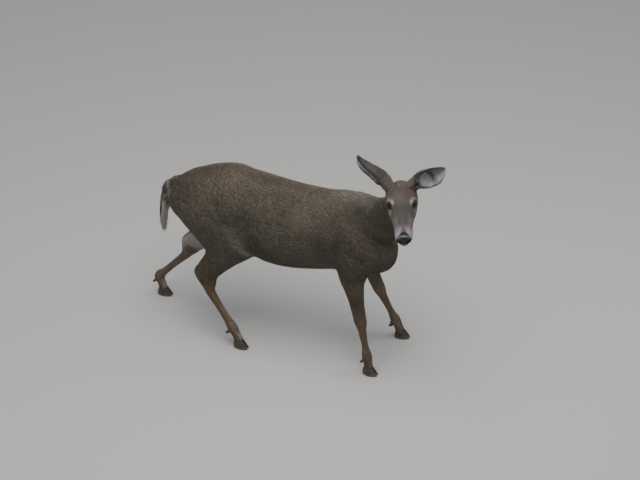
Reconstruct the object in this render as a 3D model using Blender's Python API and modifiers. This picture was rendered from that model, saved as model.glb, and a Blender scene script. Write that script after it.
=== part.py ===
"""White-tailed deer doe, life size, walking with her head turned to her right.

Metres, +Z up, +X the way the trunk points, +Y her left side.  The soles stand on z = 0 and the
origin is the middle of the model's box on the floor.  The flesh is lofted from named sections,
grown together as one body and parted again with thin cuts; hooves, dewclaws, ears and eyes are
solids of their own.  Every outline is drawn out to the tips of the coat.
"""

import math

import bmesh
import bpy
import numpy as np
from mathutils import Matrix, Vector

# ---------------------------------------------------------------- driving sizes
GAP = 0.0003            # clear space between neighbouring parts
VOXEL = 0.0065          # grid on which the lofted flesh grows together
BODY_FACES = 5600       # triangles kept for the flesh before it is parted
RING = 28               # points round a flesh section

HEAD_YAW = -66.5        # the way the nose points, degrees from +X
HEAD_PITCH = 28.0       # nose below the level
HEAD_ROLL = 4.0         # left side raised
POLL = (0.381, -0.097, 0.9725)   # top of the skull between the ears

EYE_RADIUS = 0.0160
EYE_PLACE = (0.0945, 0.0426, -0.0205)   # in the head's own axes: forward, left, up
EAR_LENGTH = 0.188
EAR_WIDTH = 0.080
EAR_WALL = 0.0052
EAR_BASE = (0.012, 0.042, -0.020)
# the way each ear points and the way it opens, in the head's own axes
EARS = {
    "ear_left": (1, (-0.045, 0.755, 0.654), (0.900, -0.360, 0.240)),
    "ear_right": (-1, (-0.640, -0.660, 0.393), (0.677, -0.723, -0.112)),
}
# share of the length, half width, half angle of the cup in degrees, bend towards the opening
EAR_SHAPE = (
    (-0.10, 0.36, 150.0, -0.03), (0.06, 0.40, 148.0, -0.07), (0.20, 0.58, 128.0, -0.12),
    (0.36, 0.84, 108.0, -0.12), (0.54, 0.99, 96.0, -0.09), (0.72, 0.97, 88.0, -0.045),
    (0.88, 0.66, 80.0, 0.0), (1.00, 0.15, 70.0, 0.020),
)

HOOF_LENGTH = 0.057
HOOF_WIDTH = 0.042
HOOF_HEIGHT = 0.036
HOOF_CLEFT = 0.0034
TOE_SPREAD = 0.0030     # how far each claw's toe stands off the cleft's line

# trunk sections: x, top, bottom, half width, level of the widest place
TRUNK = (
    (-0.676, 0.655, 0.585, 0.034, 0.620),
    (-0.655, 0.692, 0.545, 0.072, 0.620),
    (-0.610, 0.728, 0.515, 0.106, 0.620),
    (-0.550, 0.760, 0.492, 0.128, 0.625),
    (-0.480, 0.790, 0.470, 0.142, 0.630),
    (-0.400, 0.808, 0.450, 0.144, 0.635),
    (-0.300, 0.802, 0.430, 0.137, 0.615),
    (-0.214, 0.791, 0.402, 0.148, 0.590),
    (-0.094, 0.778, 0.403, 0.151, 0.580),
    (0.045, 0.781, 0.428, 0.142, 0.590),
    (0.125, 0.786, 0.436, 0.130, 0.600),
    (0.200, 0.774, 0.440, 0.118, 0.590),
    (0.262, 0.720, 0.448, 0.100, 0.570),
    (0.312, 0.650, 0.468, 0.072, 0.555),
    (0.338, 0.590, 0.500, 0.036, 0.545),
)

# neck sections: centre x, y, z, half depth, half width
NECK = (
    (0.100, 0.000, 0.640, 0.138, 0.105),
    (0.205, -0.002, 0.674, 0.125, 0.090),
    (0.298, -0.020, 0.727, 0.096, 0.070),
    (0.352, -0.044, 0.796, 0.072, 0.057),
    (0.380, -0.066, 0.856, 0.057, 0.050),
    (0.389, -0.084, 0.904, 0.046, 0.043),
)

# head sections in its own axes, measured from the poll: forward, top, bottom, half width, widest level
HEAD = (
    (-0.022, -0.040, -0.080, 0.020, -0.060),
    (-0.008, -0.015, -0.108, 0.040, -0.058),
    (0.020, 0.002, -0.126, 0.055, -0.052),
    (0.050, 0.010, -0.131, 0.0645, -0.046),
    (0.076, 0.010, -0.124, 0.0680, -0.044),
    (0.104, 0.005, -0.110, 0.0610, -0.050),
    (0.138, -0.003, -0.094, 0.0520, -0.051),
    (0.170, -0.007, -0.082, 0.0440, -0.048),
    (0.204, -0.010, -0.077, 0.0370, -0.044),
    (0.232, -0.012, -0.077, 0.0355, -0.043),
    (0.250, -0.018, -0.075, 0.0335, -0.043),
    (0.260, -0.031, -0.065, 0.0225, -0.046),
)

# limb thickness along its joints: place (joint number and share of the way to the next),
# half depth fore and aft, half width
FORE_SHAPE = (
    (0.50, 0.060, 0.040), (1.00, 0.060, 0.043),
    (1.25, 0.048, 0.039), (1.50, 0.037, 0.032), (1.75, 0.030, 0.027),
    (2.00, 0.0255, 0.0250), (2.20, 0.0195, 0.0185), (2.55, 0.0150, 0.0145),
    (2.80, 0.0160, 0.0150), (3.00, 0.0205, 0.0190), (3.45, 0.0175, 0.0180),
    (4.00, 0.0215, 0.0205),
)
HIND_SHAPE = (
    (0.00, 0.100, 0.060), (1.00, 0.075, 0.052), (1.60, 0.058, 0.042),
    (2.00, 0.050, 0.032), (2.35, 0.044, 0.026), (2.70, 0.031, 0.023),
    (3.00, 0.0215, 0.0200), (3.45, 0.0165, 0.0155), (3.80, 0.0170, 0.0160),
    (4.00, 0.0210, 0.0195), (4.45, 0.0180, 0.0180), (5.00, 0.0215, 0.0205),
)

# joints from the body down to the coronet, then the way the toe points in degrees from +X
FORELEGS = {
    "right": (((0.190, -0.078, 0.620), (0.176, -0.102, 0.478), (0.2270, -0.119, 0.250),
               (0.2590, -0.124, 0.088), (0.2680, -0.125, 0.036)), -4.0),
    "left": (((0.170, 0.078, 0.620), (0.150, 0.100, 0.470), (0.2190, 0.137, 0.250),
              (0.2830, 0.166, 0.088), (0.3060, 0.172, 0.036)), 6.0),
}
HINDLEGS = {
    "right": (((-0.330, -0.095, 0.520), (-0.385, -0.108, 0.450), (-0.470, -0.121, 0.335),
               (-0.448, -0.129, 0.245), (-0.346, -0.142, 0.094), (-0.312, -0.145, 0.036)), -4.0),
    "left": (((-0.410, 0.085, 0.535), (-0.482, 0.092, 0.447), (-0.622, 0.096, 0.318),
              (-0.662, 0.098, 0.240), (-0.795, 0.100, 0.094), (-0.776, 0.100, 0.036)), 3.0),
}

# shoulder and thigh sections: height, rear edge, front edge, middle y, half width
UPPER_LIMBS = {
    "right shoulder": ((0.715, 0.090, 0.170, -0.066, 0.040), (0.650, 0.070, 0.245, -0.078, 0.050),
                       (0.590, 0.072, 0.285, -0.085, 0.054), (0.535, 0.085, 0.284, -0.092, 0.053),
                       (0.485, 0.108, 0.256, -0.099, 0.047), (0.440, 0.127, 0.240, -0.104, 0.041)),
    "left shoulder": ((0.715, 0.080, 0.160, 0.066, 0.040), (0.650, 0.055, 0.235, 0.078, 0.050),
                      (0.590, 0.052, 0.275, 0.085, 0.054), (0.535, 0.060, 0.272, 0.091, 0.053),
                      (0.485, 0.082, 0.238, 0.098, 0.047), (0.440, 0.100, 0.215, 0.106, 0.041)),
    "right thigh": ((0.700, -0.560, -0.400, -0.075, 0.050), (0.640, -0.620, -0.340, -0.085, 0.062),
                    (0.580, -0.610, -0.290, -0.090, 0.066), (0.525, -0.560, -0.258, -0.094, 0.064),
                    (0.480, -0.512, -0.268, -0.100, 0.058), (0.440, -0.472, -0.318, -0.106, 0.050),
                    (0.405, -0.482, -0.352, -0.110, 0.042)),
    "left thigh": ((0.700, -0.580, -0.420, 0.075, 0.050), (0.640, -0.650, -0.380, 0.085, 0.062),
                   (0.580, -0.668, -0.340, 0.088, 0.068), (0.525, -0.668, -0.325, 0.088, 0.066),
                   (0.480, -0.655, -0.345, 0.088, 0.060), (0.440, -0.640, -0.390, 0.090, 0.050),
                   (0.400, -0.625, -0.440, 0.093, 0.040)),
}

# tail sections: centre x, y, z, half thickness, half width
TAIL = (
    (-0.640, 0.000, 0.700, 0.016, 0.022),
    (-0.676, 0.000, 0.668, 0.017, 0.026),
    (-0.697, -0.001, 0.610, 0.017, 0.033),
    (-0.706, -0.003, 0.545, 0.017, 0.036),
    (-0.710, -0.005, 0.490, 0.014, 0.028),
    (-0.710, -0.006, 0.452, 0.006, 0.010),
)

COLOURS = {
    "coat": ((0.115, 0.082, 0.058), 0.85),
    "eye": ((0.010, 0.007, 0.006), 0.08),
    "nose": ((0.012, 0.011, 0.012), 0.35),
    "horn": ((0.030, 0.026, 0.023), 0.45),
}

collection = None
materials = {}


# ---------------------------------------------------------------- helpers
def clear_scene():
    for obj in list(bpy.data.objects):
        bpy.data.objects.remove(obj)


def make_materials():
    for name, (colour, roughness) in COLOURS.items():
        mat = bpy.data.materials.new(name)
        mat.use_nodes = True
        shader = mat.node_tree.nodes["Principled BSDF"]
        shader.inputs["Base Color"].default_value = (*colour, 1.0)
        shader.inputs["Roughness"].default_value = roughness
        shader.inputs["Metallic"].default_value = 0.0
        materials[name] = mat


def add_mesh(name, verts, faces, slot):
    mesh = bpy.data.meshes.new(name)
    mesh.from_pydata([tuple(v) for v in verts], [], faces)
    obj = bpy.data.objects.new(name, mesh)
    obj.data.materials.append(materials[slot])
    collection.objects.link(obj)
    face_outward(mesh)
    return obj


def face_outward(mesh):
    bm = bmesh.new()
    bm.from_mesh(mesh)
    bmesh.ops.recalc_face_normals(bm, faces=bm.faces)
    bm.to_mesh(mesh)
    bm.free()


def fill_between(rows, steps):
    """Smooth rows of numbers: a Catmull-Rom curve through them, `steps` pieces to each gap."""
    rows = np.array(rows, float)
    ends = np.vstack([2 * rows[0] - rows[1], rows, 2 * rows[-1] - rows[-2]])
    out = []
    for i in range(1, len(ends) - 2):
        a, b, c, d = ends[i - 1:i + 3]
        for t in np.arange(steps) / steps:
            out.append(0.5 * (2 * b + (c - a) * t + (2 * a - 5 * b + 4 * c - d) * t ** 2
                              + (3 * b - a - 3 * c + d) * t ** 3))
    out.append(rows[-1])
    return np.array(out)


def loft(name, rings, slot):
    """A closed solid through rings of equally many points, capped at both ends."""
    count = len(rings[0])
    verts = [p for ring in rings for p in ring]
    faces = []
    for i in range(len(rings) - 1):
        for j in range(count):
            k = (j + 1) % count
            faces.append((i * count + j, i * count + k, (i + 1) * count + k, (i + 1) * count + j))
    faces.append(tuple(range(count)))
    faces.append(tuple((len(rings) - 1) * count + j for j in range(count)))
    return add_mesh(name, verts, faces, slot)


def egg(top, bottom, half, widest, squareness=0.92, ridge=0.92):
    """A section as (sideways, height) pairs; `ridge` above 1 draws its upper half to a crest."""
    points = []
    for j in range(RING):
        a = 2 * math.pi * j / RING
        c, s = math.cos(a), math.sin(a)
        side = half * math.copysign(abs(c) ** (ridge if s > 0 else squareness), c)
        reach = (top - widest) if s > 0 else (widest - bottom)
        points.append((side, widest + reach * math.copysign(abs(s) ** squareness, s)))
    return points


def along(rows, name, slot, fore=(1.0, 0.0, 0.0), count=RING, steps=4):
    """Loft ellipses (x, y, z, half depth, half width) square to the path of their centres."""
    rows = fill_between(rows, steps)
    centres = rows[:, :3]
    tangents = np.gradient(centres, axis=0)
    rings = []
    for centre, tangent, row in zip(centres, tangents, rows):
        t = Vector(tangent).normalized()
        side = t.cross(Vector(fore)).normalized()
        front = side.cross(t).normalized()
        ring = []
        for j in range(count):
            a = 2 * math.pi * j / count
            ring.append(Vector(centre) + front * (row[3] * math.cos(a)) + side * (row[4] * math.sin(a)))
        rings.append(ring)
    return loft(name, rings, slot)


def limb(name, joints, shape):
    """A leg lofted along its joints with the thickness that `shape` names."""
    joints = np.array(joints)
    rows = []
    for place, depth, width in shape:
        i = min(int(place), len(joints) - 2)
        centre = joints[i] + (place - i) * (joints[i + 1] - joints[i])
        rows.append((*centre, depth, width))
    return along(rows, name, "coat")


def baked(obj):
    """The object's mesh with its modifiers worked in."""
    bpy.context.view_layer.update()
    graph = bpy.context.evaluated_depsgraph_get()
    mesh = bpy.data.meshes.new_from_object(obj.evaluated_get(graph))
    obj.modifiers.clear()
    obj.data = mesh
    return obj


def joined(name, objects):
    bm = bmesh.new()
    for obj in objects:
        bm.from_mesh(obj.data)
    mesh = bpy.data.meshes.new(name)
    bm.to_mesh(mesh)
    bm.free()
    result = bpy.data.objects.new(name, mesh)
    mesh.materials.append(materials["coat"])
    collection.objects.link(result)
    for obj in objects:
        bpy.data.objects.remove(obj)
    return result


def boolean(obj, cutter, operation="DIFFERENCE"):
    mod = obj.modifiers.new("cut", "BOOLEAN")
    mod.operation = operation
    mod.solver = "EXACT"
    mod.object = cutter
    baked(obj)
    bpy.data.objects.remove(cutter)
    return obj


def slab(centre, normal, width, height, thickness=GAP, across=None):
    """A plate square to `normal`, as a cutter; `width` runs level, or along `across`."""
    n = Vector(normal).normalized()
    level = Vector(across) if across else Vector((0, 0, 1)).cross(n)
    if level.length < 1e-3:
        level = Vector((0, 1, 0))
    level = (level - n * level.dot(n)).normalized()
    rise = n.cross(level)
    verts = [Vector(centre) + level * (a * width / 2) + rise * (b * height / 2) + n * (c * thickness / 2)
             for a in (-1, 1) for b in (-1, 1) for c in (-1, 1)]
    faces = [(0, 1, 3, 2), (4, 6, 7, 5), (0, 4, 5, 1), (2, 3, 7, 6), (0, 2, 6, 4), (1, 5, 7, 3)]
    return add_mesh("cutter", verts, faces, "coat")


def parted(obj, cutter, seeds):
    """Cut an object and give each named seed point the loose piece whose middle is nearest."""
    boolean(obj, cutter)
    bm = bmesh.new()
    bm.from_mesh(obj.data)
    bm.verts.ensure_lookup_table()
    left = set(bm.verts)
    pieces = []
    while left:
        stack = [left.pop()]
        piece = set(stack)
        while stack:
            for edge in stack.pop().link_edges:
                for v in edge.verts:
                    if v in left:
                        left.remove(v)
                        piece.add(v)
                        stack.append(v)
        pieces.append(piece)
    pieces.sort(key=len, reverse=True)
    result = []
    for name, seed in seeds:
        best = min(pieces[:len(seeds)],
                   key=lambda p: (sum((v.co for v in p), Vector()) / len(p) - Vector(seed)).length)
        part = bm.copy()
        keep = {v.index for v in best}
        part.verts.ensure_lookup_table()
        bmesh.ops.delete(part, geom=[v for v in part.verts if v.index not in keep], context="VERTS")
        mesh = bpy.data.meshes.new(name)
        part.to_mesh(mesh)
        part.free()
        piece_obj = bpy.data.objects.new(name, mesh)
        mesh.materials.append(materials["coat"])
        collection.objects.link(piece_obj)
        result.append(piece_obj)
    bm.free()
    bpy.data.objects.remove(obj)
    return result


def grown(obj, distance=GAP):
    """A copy pushed out by the clear space, for cutting a neighbour to it."""
    copy = obj.copy()
    copy.data = obj.data.copy()
    collection.objects.link(copy)
    mod = copy.modifiers.new("grow", "DISPLACE")
    mod.strength = distance
    mod.mid_level = 0.0
    return baked(copy)


# ---------------------------------------------------------------- the head's own axes
def head_matrix():
    turn = (Matrix.Rotation(math.radians(HEAD_YAW), 4, "Z")
            @ Matrix.Rotation(math.radians(HEAD_PITCH), 4, "Y")
            @ Matrix.Rotation(math.radians(HEAD_ROLL), 4, "X"))
    return Matrix.Translation(POLL) @ turn


HEAD_AXES = head_matrix()


# ---------------------------------------------------------------- flesh
def make_trunk():
    rings = []
    for x, top, bottom, half, widest in fill_between(TRUNK, 3):
        rings.append([(x, y, z) for y, z in egg(top, bottom, half, widest, ridge=1.02)])
    return loft("trunk", rings, "coat")


def make_head():
    rings = []
    for x, top, bottom, half, widest in fill_between(HEAD, 3):
        rings.append([HEAD_AXES @ Vector((x, y, z)) for y, z in egg(top, bottom, half, widest, 0.9)])
    return loft("head", rings, "coat")


def make_upper_limb(name):
    rings = []
    for z, rear, front, middle, half in fill_between(UPPER_LIMBS[name], 3):
        ring = []
        for j in range(RING):
            a = 2 * math.pi * j / RING
            ring.append(((rear + front) / 2 + (front - rear) / 2 * math.cos(a),
                         middle + half * math.sin(a), z))
        rings.append(ring)
    return loft(name, rings, "coat")


def make_body():
    """Everything of flesh, grown together and smoothed."""
    flesh = [make_trunk(), along(NECK, "neck", "coat", (0.0, 0.0, 1.0)), make_head()]
    flesh += [make_upper_limb(name) for name in UPPER_LIMBS]
    for side in ("right", "left"):
        flesh.append(limb("foreleg", FORELEGS[side][0], FORE_SHAPE))
        flesh.append(limb("hindleg", HINDLEGS[side][0], HIND_SHAPE))
    body = joined("body", flesh)
    grow = body.modifiers.new("grow together", "REMESH")
    grow.mode = "VOXEL"
    grow.voxel_size = VOXEL
    soften = body.modifiers.new("soften", "SMOOTH")
    soften.factor = 0.5
    soften.iterations = 8
    baked(body)
    thin = body.modifiers.new("thin out", "DECIMATE")
    body.data.calc_loop_triangles()
    thin.ratio = BODY_FACES / len(body.data.loop_triangles)
    return baked(body)


# ---------------------------------------------------------------- ears, eyes, hooves
def make_ear(name, side, axis, opening):
    """A leaf-shaped cupped shell: `axis` runs from base to tip, `opening` is where it faces."""
    a = (HEAD_AXES.to_3x3() @ Vector(axis)).normalized()
    o = HEAD_AXES.to_3x3() @ Vector(opening)
    o = (o - a * o.dot(a)).normalized()
    across = a.cross(o)
    base = HEAD_AXES @ Vector((EAR_BASE[0], side * EAR_BASE[1], EAR_BASE[2]))
    shape = fill_between(EAR_SHAPE, 2)
    count = 8
    rings = []
    for share, half, angle, bend in shape:
        wall = EAR_WALL * (1.15 - 0.55 * max(share, 0.0))
        radius = half * EAR_WIDTH / 2 / math.sin(math.radians(min(angle, 90.0)))
        centre = base + a * (share * EAR_LENGTH) + o * (bend * EAR_LENGTH)
        ring = []
        for r, turn in ((radius + wall / 2, 1), (radius - wall / 2, -1)):
            for j in range(count):
                t = math.radians(angle) * (2 * j / (count - 1) - 1) * turn
                ring.append(centre + o * (radius - max(r, 0.0006) * math.cos(t))
                            + across * (max(r, 0.0006) * math.sin(t)))
        rings.append(ring)
    return loft(name, rings, "coat")


def make_ball(name, centre, radius, slot, rows=9):
    mesh = bpy.data.meshes.new(name)
    bm = bmesh.new()
    bmesh.ops.create_uvsphere(bm, u_segments=2 * rows, v_segments=rows, radius=radius)
    bmesh.ops.translate(bm, verts=bm.verts, vec=centre)
    bm.to_mesh(mesh)
    bm.free()
    obj = bpy.data.objects.new(name, mesh)
    mesh.materials.append(materials[slot])
    mesh.shade_smooth()
    collection.objects.link(obj)
    return obj


def make_claw(name, coronet, heading, side):
    """One half of a cloven hoof: flat sole, nearly straight inner wall, blunt pointed toe."""
    turn = Matrix.Rotation(math.radians(heading), 3, "Z")
    # height share, heel and toe as shares of the length from the coronet's middle, width share
    levels = ((0.0, -0.40, 0.72, 0.98), (0.14, -0.42, 0.70, 1.00), (0.55, -0.42, 0.52, 0.96),
              (0.90, -0.38, 0.36, 0.92), (1.0, -0.35, 0.32, 0.88))
    steps = 9
    rings = []
    for height, heel, toe, width in levels:
        wall, bulge = [], []
        for j in range(steps):
            share = j / (steps - 1)
            x = HOOF_LENGTH * (heel + (toe - heel) * share)
            inner = HOOF_CLEFT / 2 + TOE_SPREAD * share ** 2
            fullness = math.sin(math.pi * (0.16 + 0.80 * share)) ** 0.7
            wall.append((x, inner))
            bulge.append((x, inner + (HOOF_WIDTH - HOOF_CLEFT) / 2 * width * fullness))
        z = height * (HOOF_HEIGHT - GAP)
        rings.append([Vector((coronet[0], coronet[1], 0)) + turn @ Vector((x, side * y, z))
                      for x, y in bulge + wall[::-1]])
    return loft(name, rings, "horn")


def make_dewclaw(name, fetlock, heading, side, leg):
    """A short blunt nub low on the back of the pastern."""
    turn = Matrix.Rotation(math.radians(heading), 3, "Z")
    start = Vector(fetlock) + turn @ Vector((-0.004, side * 0.009, -0.012))
    tip = Vector(fetlock) + turn @ Vector((-0.026, side * 0.013, -0.030))
    # share of the way to the tip, radius
    shape = ((0.0, 0.0070), (0.55, 0.0068), (0.85, 0.0052), (1.0, 0.0026))
    rows = [(*start.lerp(tip, share), radius, radius) for share, radius in shape]
    nub = along(rows, name, "horn", count=10, steps=1)
    return boolean(nub, grown(leg))


def make_foot(prefix, leg, joints, heading):
    """Square off the leg at the coronet and hang the two claws and dewclaws on it."""
    coronet, fetlock = joints[-1], joints[-2]
    boolean(leg, slab((coronet[0], coronet[1], HOOF_HEIGHT / 2 - 0.02), (0, 0, 1), 0.2, 0.2,
                      HOOF_HEIGHT + 0.04))
    for side, where in ((1, "outer"), (-1, "inner")):
        hand = side if coronet[1] > 0 else -side
        make_claw(f"{prefix}_hoof_{where}", coronet, heading, hand)
        make_dewclaw(f"{prefix}_dewclaw_{where}", fetlock, heading, hand, leg)


# ---------------------------------------------------------------- building
def part_body(body):
    """Cut the grown body where its parts meet."""
    forward = HEAD_AXES.to_3x3() @ Vector((1, 0, 0))
    upward = HEAD_AXES.to_3x3() @ Vector((0, 0, 1))
    nape = HEAD_AXES @ Vector((0.018, 0.0, -0.080))
    tilt = (forward * 0.72 + upward * 0.69).normalized()
    body, head = parted(body, slab(nape, tilt, 0.20, 0.32),
                        (("body", (-0.1, 0, 0.6)), ("head", tuple(HEAD_AXES @ Vector((0.12, 0, -0.05))))))
    body, neck = parted(body, slab((0.226, -0.004, 0.664), (0.76, -0.03, 0.65), 0.36, 0.50),
                        (("body", (-0.1, 0, 0.6)), ("neck", (0.33, -0.04, 0.80))))
    legs = {}
    for kind, table, level in (("foreleg", FORELEGS, 0.418), ("hindleg", HINDLEGS, 0.405)):
        for side in ("right", "left"):
            joints = table[side][0]
            above, below = (j for j in zip(joints, joints[1:]) if j[0][2] > level >= j[1][2]).__next__()
            share = (above[2] - level) / (above[2] - below[2])
            centre = Vector(above).lerp(Vector(below), share)
            low = tuple(Vector(joints[-2]).lerp(Vector(joints[-3]), 0.6))
            body, leg = parted(body, slab(centre, (0, 0, 1), 0.15, 0.24),
                               (("body", (-0.1, 0, 0.6)), (f"{kind}_{side}", low)))
            legs[kind, side] = leg
    body.name = "trunk"
    boolean(along(TAIL, "tail", "coat", count=16, steps=3), grown(body))
    return head, legs


def finish_head(head):
    for side, name in ((1, "eye_left"), (-1, "eye_right")):
        place = HEAD_AXES @ Vector((EYE_PLACE[0], side * EYE_PLACE[1], EYE_PLACE[2]))
        boolean(head, make_ball("socket", place, EYE_RADIUS + GAP, "coat"))
        make_ball(name, place, EYE_RADIUS, "eye")
    mouth = HEAD_AXES @ Vector((0.15, 0.0, -0.0575))
    jaw_normal = HEAD_AXES.to_3x3() @ Vector((0.11, 0.0, -1.0))
    across = HEAD_AXES.to_3x3() @ Vector((0.0, 1.0, 0.0))
    cutter = slab(mouth, jaw_normal, 0.5, 0.4, across=across)
    head, jaw = parted(head, cutter, (("head", tuple(HEAD_AXES @ Vector((0.09, 0, -0.02)))),
                                      ("lower_jaw", tuple(HEAD_AXES @ Vector((0.09, 0, -0.10))))))
    muzzle = HEAD_AXES @ Vector((0.238, 0.0, -0.028))
    nose_normal = HEAD_AXES.to_3x3() @ Vector((1.0, 0.0, 0.55))
    head, nose = parted(head, slab(muzzle, nose_normal, 0.10, 0.10, across=across),
                        (("head", tuple(HEAD_AXES @ Vector((0.09, 0, -0.02)))),
                         ("nose_pad", tuple(HEAD_AXES @ Vector((0.26, 0, -0.03))))))
    nose.data.materials.clear()
    nose.data.materials.append(materials["nose"])
    for name, (side, axis, opening) in EARS.items():
        ear = make_ear(name, side, axis, opening)
        boolean(ear, grown(head))
    return head


def stand_on_origin():
    """Move everything so the model's box stands centred on the origin."""
    objects = [o for o in collection.objects if o.type == "MESH"]
    points = np.array([v.co for o in objects for v in o.data.vertices])
    low, high = points.min(axis=0), points.max(axis=0)
    shift = Vector((-(low[0] + high[0]) / 2, -(low[1] + high[1]) / 2, -low[2]))
    for obj in objects:
        obj.data.transform(Matrix.Translation(shift))


def main():
    global collection
    clear_scene()
    collection = bpy.data.collections.new("deer")
    bpy.context.scene.collection.children.link(collection)
    make_materials()
    body = make_body()
    head, legs = part_body(body)
    for kind, table in (("foreleg", FORELEGS), ("hindleg", HINDLEGS)):
        for side in ("right", "left"):
            make_foot(f"{kind}_{side}", legs[kind, side], *table[side])
    finish_head(head)
    stand_on_origin()


main()
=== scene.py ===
"""A white-tailed deer doe, life size, walking with her head turned to her right.

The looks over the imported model: one skin under a coat of tufts, eyes with lids and lashes, hooves and
dewclaws of horn, and a plain studio round them.  Metres, +Z up, +X the way the trunk points.
"""
import math

import bmesh
import bpy
import numpy as np
from mathutils import Matrix, Vector
from mathutils.bvhtree import BVHTree


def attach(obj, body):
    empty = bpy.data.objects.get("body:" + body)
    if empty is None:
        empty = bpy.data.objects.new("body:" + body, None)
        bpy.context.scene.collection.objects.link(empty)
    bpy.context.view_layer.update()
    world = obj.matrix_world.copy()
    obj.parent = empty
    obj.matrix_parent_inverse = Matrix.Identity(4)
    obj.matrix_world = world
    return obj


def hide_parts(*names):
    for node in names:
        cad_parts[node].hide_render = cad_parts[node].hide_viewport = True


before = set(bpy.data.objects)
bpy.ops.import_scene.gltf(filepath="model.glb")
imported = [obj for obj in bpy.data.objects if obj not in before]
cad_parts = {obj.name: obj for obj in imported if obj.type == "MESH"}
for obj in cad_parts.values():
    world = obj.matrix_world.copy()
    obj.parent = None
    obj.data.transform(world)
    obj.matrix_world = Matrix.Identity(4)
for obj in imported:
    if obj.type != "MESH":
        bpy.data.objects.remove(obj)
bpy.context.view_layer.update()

rng = np.random.default_rng(7)


# ======================================================================= studio
# A plain pale floor under a plain soft sky, one broad lamp above and a weaker one at the side.
# The lens is long and far away, above the animal's right side, as when it is watched from a slope.
TARGET = Vector((0.1260, 0.0511, 0.5356))     # what the camera is aimed at
AZIMUTH = math.radians(21.0)
ELEVATION = math.radians(34.0)
DISTANCE = 10.0
LENS = 135.0
SENSOR = 36.0           # the lens and the film's width, in millimetres
SKY_COLOUR = (0.88, 0.91, 0.96, 1.0)
SKY_STRENGTH = 0.70
# place, aim, width, power in watts, colour
LAMPS = {"lamp_above": ((0.2, -0.9, 3.9), (0.1, 0.0, 0.5), 2.8, 188.0, (1.0, 0.98, 0.95)),
         "lamp_side": ((3.0, 1.2, 2.2), (0.2, 0.0, 0.6), 1.8, 26.0, (0.93, 0.96, 1.0))}
FLOOR_HALF = 15.0
FLOOR_COLOUR = (0.355, 0.348, 0.335, 1.0)

away = Vector((math.sin(AZIMUTH) * math.cos(ELEVATION), -math.cos(AZIMUTH) * math.cos(ELEVATION),
               math.sin(ELEVATION)))
camera_data = bpy.data.cameras.new("camera")
camera_data.lens = LENS
camera_data.sensor_width = SENSOR
camera_data.clip_end = 60.0
camera = bpy.data.objects.new("camera", camera_data)
camera.location = TARGET + away * DISTANCE
camera.rotation_euler = away.to_track_quat("Z", "Y").to_euler()
bpy.context.scene.collection.objects.link(camera)
bpy.context.scene.camera = camera


def add_object(name, mesh):
    """A mesh put into the scene as an object at the origin."""
    obj = bpy.data.objects.new(name, mesh)
    bpy.context.scene.collection.objects.link(obj)
    return obj


def new_material(name):
    """A material with its tree and its Principled shader."""
    material = bpy.data.materials.new(name)
    material.use_nodes = True
    return material, material.node_tree, material.node_tree.nodes["Principled BSDF"]


def add_lamp(name, place, aim, size, power, colour):
    """A square lamp at a place, turned to its aim."""
    data = bpy.data.lights.new(name, "AREA")
    data.size = size
    data.energy = power
    data.color = colour
    lamp = bpy.data.objects.new(name, data)
    lamp.location = place
    lamp.rotation_euler = (Vector(place) - Vector(aim)).to_track_quat("Z", "Y").to_euler()
    bpy.context.scene.collection.objects.link(lamp)


world = bpy.data.worlds.new("sky")
world.use_nodes = True
sky = world.node_tree.nodes["Background"].inputs
sky["Color"].default_value = SKY_COLOUR
sky["Strength"].default_value = SKY_STRENGTH
bpy.context.scene.world = world
for name, lamp in LAMPS.items():
    add_lamp(name, *lamp)

floor_mesh = bpy.data.meshes.new("floor")
floor_mesh.from_pydata([(FLOOR_HALF * x, FLOOR_HALF * y, 0) for x, y in ((-1, -1), (1, -1), (1, 1), (-1, 1))],
                       [], [(0, 1, 2, 3)])
floor = add_object("floor", floor_mesh)
floor_material, _, floor_shader = new_material("floor")
floor_shader.inputs["Base Color"].default_value = FLOOR_COLOUR
floor_shader.inputs["Roughness"].default_value = 0.9
floor_mesh.materials.append(floor_material)


# ======================================================================= the skin
# One hide from the nose to the tail's tip and down to the hooves, over muscle and bone.  It is grown
# over the model's parts, drawn in by the coat's depth and then modelled: folds, bones and tendons.
# The parts were drawn before the model was centred: the way from the drawing's axes to the model's.
SHIFT = np.array((0.1260, 0.0511, 0.0))
POLL = Vector((0.381, -0.097, 0.9725)) + Vector(SHIFT)
HEAD_TURN = (Matrix.Rotation(math.radians(-66.5), 4, "Z") @ Matrix.Rotation(math.radians(28.0), 4, "Y")
             @ Matrix.Rotation(math.radians(4.0), 4, "X"))
HEAD_AXES = np.array(HEAD_TURN.to_3x3())
HEAD = Matrix.Translation(POLL) @ HEAD_TURN   # the head's own axes: forward, left, up
EYE_PLACE = np.array((0.0945, 0.0426, -0.0205))
EYE_RADIUS = 0.0158
SIDES = (1, -1)

# The limbs' lines in the drawing's axes.  Fore: upper arm, elbow, knee, fetlock, coronet.
# Hind: stifle, gaskin, hock, cannon, fetlock, coronet.
FORELEGS = {
    -1: ((0.190, -0.078, 0.620), (0.176, -0.102, 0.478), (0.2270, -0.119, 0.250),
         (0.2590, -0.124, 0.088), (0.2680, -0.125, 0.036)),
    1: ((0.170, 0.078, 0.620), (0.150, 0.100, 0.470), (0.2190, 0.137, 0.250),
        (0.2830, 0.166, 0.088), (0.3060, 0.172, 0.036)),
}
HINDLEGS = {
    -1: ((-0.330, -0.095, 0.520), (-0.385, -0.108, 0.450), (-0.470, -0.121, 0.335),
         (-0.448, -0.129, 0.245), (-0.346, -0.142, 0.094), (-0.312, -0.145, 0.036)),
    1: ((-0.410, 0.085, 0.535), (-0.482, 0.092, 0.447), (-0.622, 0.096, 0.318),
        (-0.662, 0.098, 0.240), (-0.795, 0.100, 0.094), (-0.776, 0.100, 0.036)),
}
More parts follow.
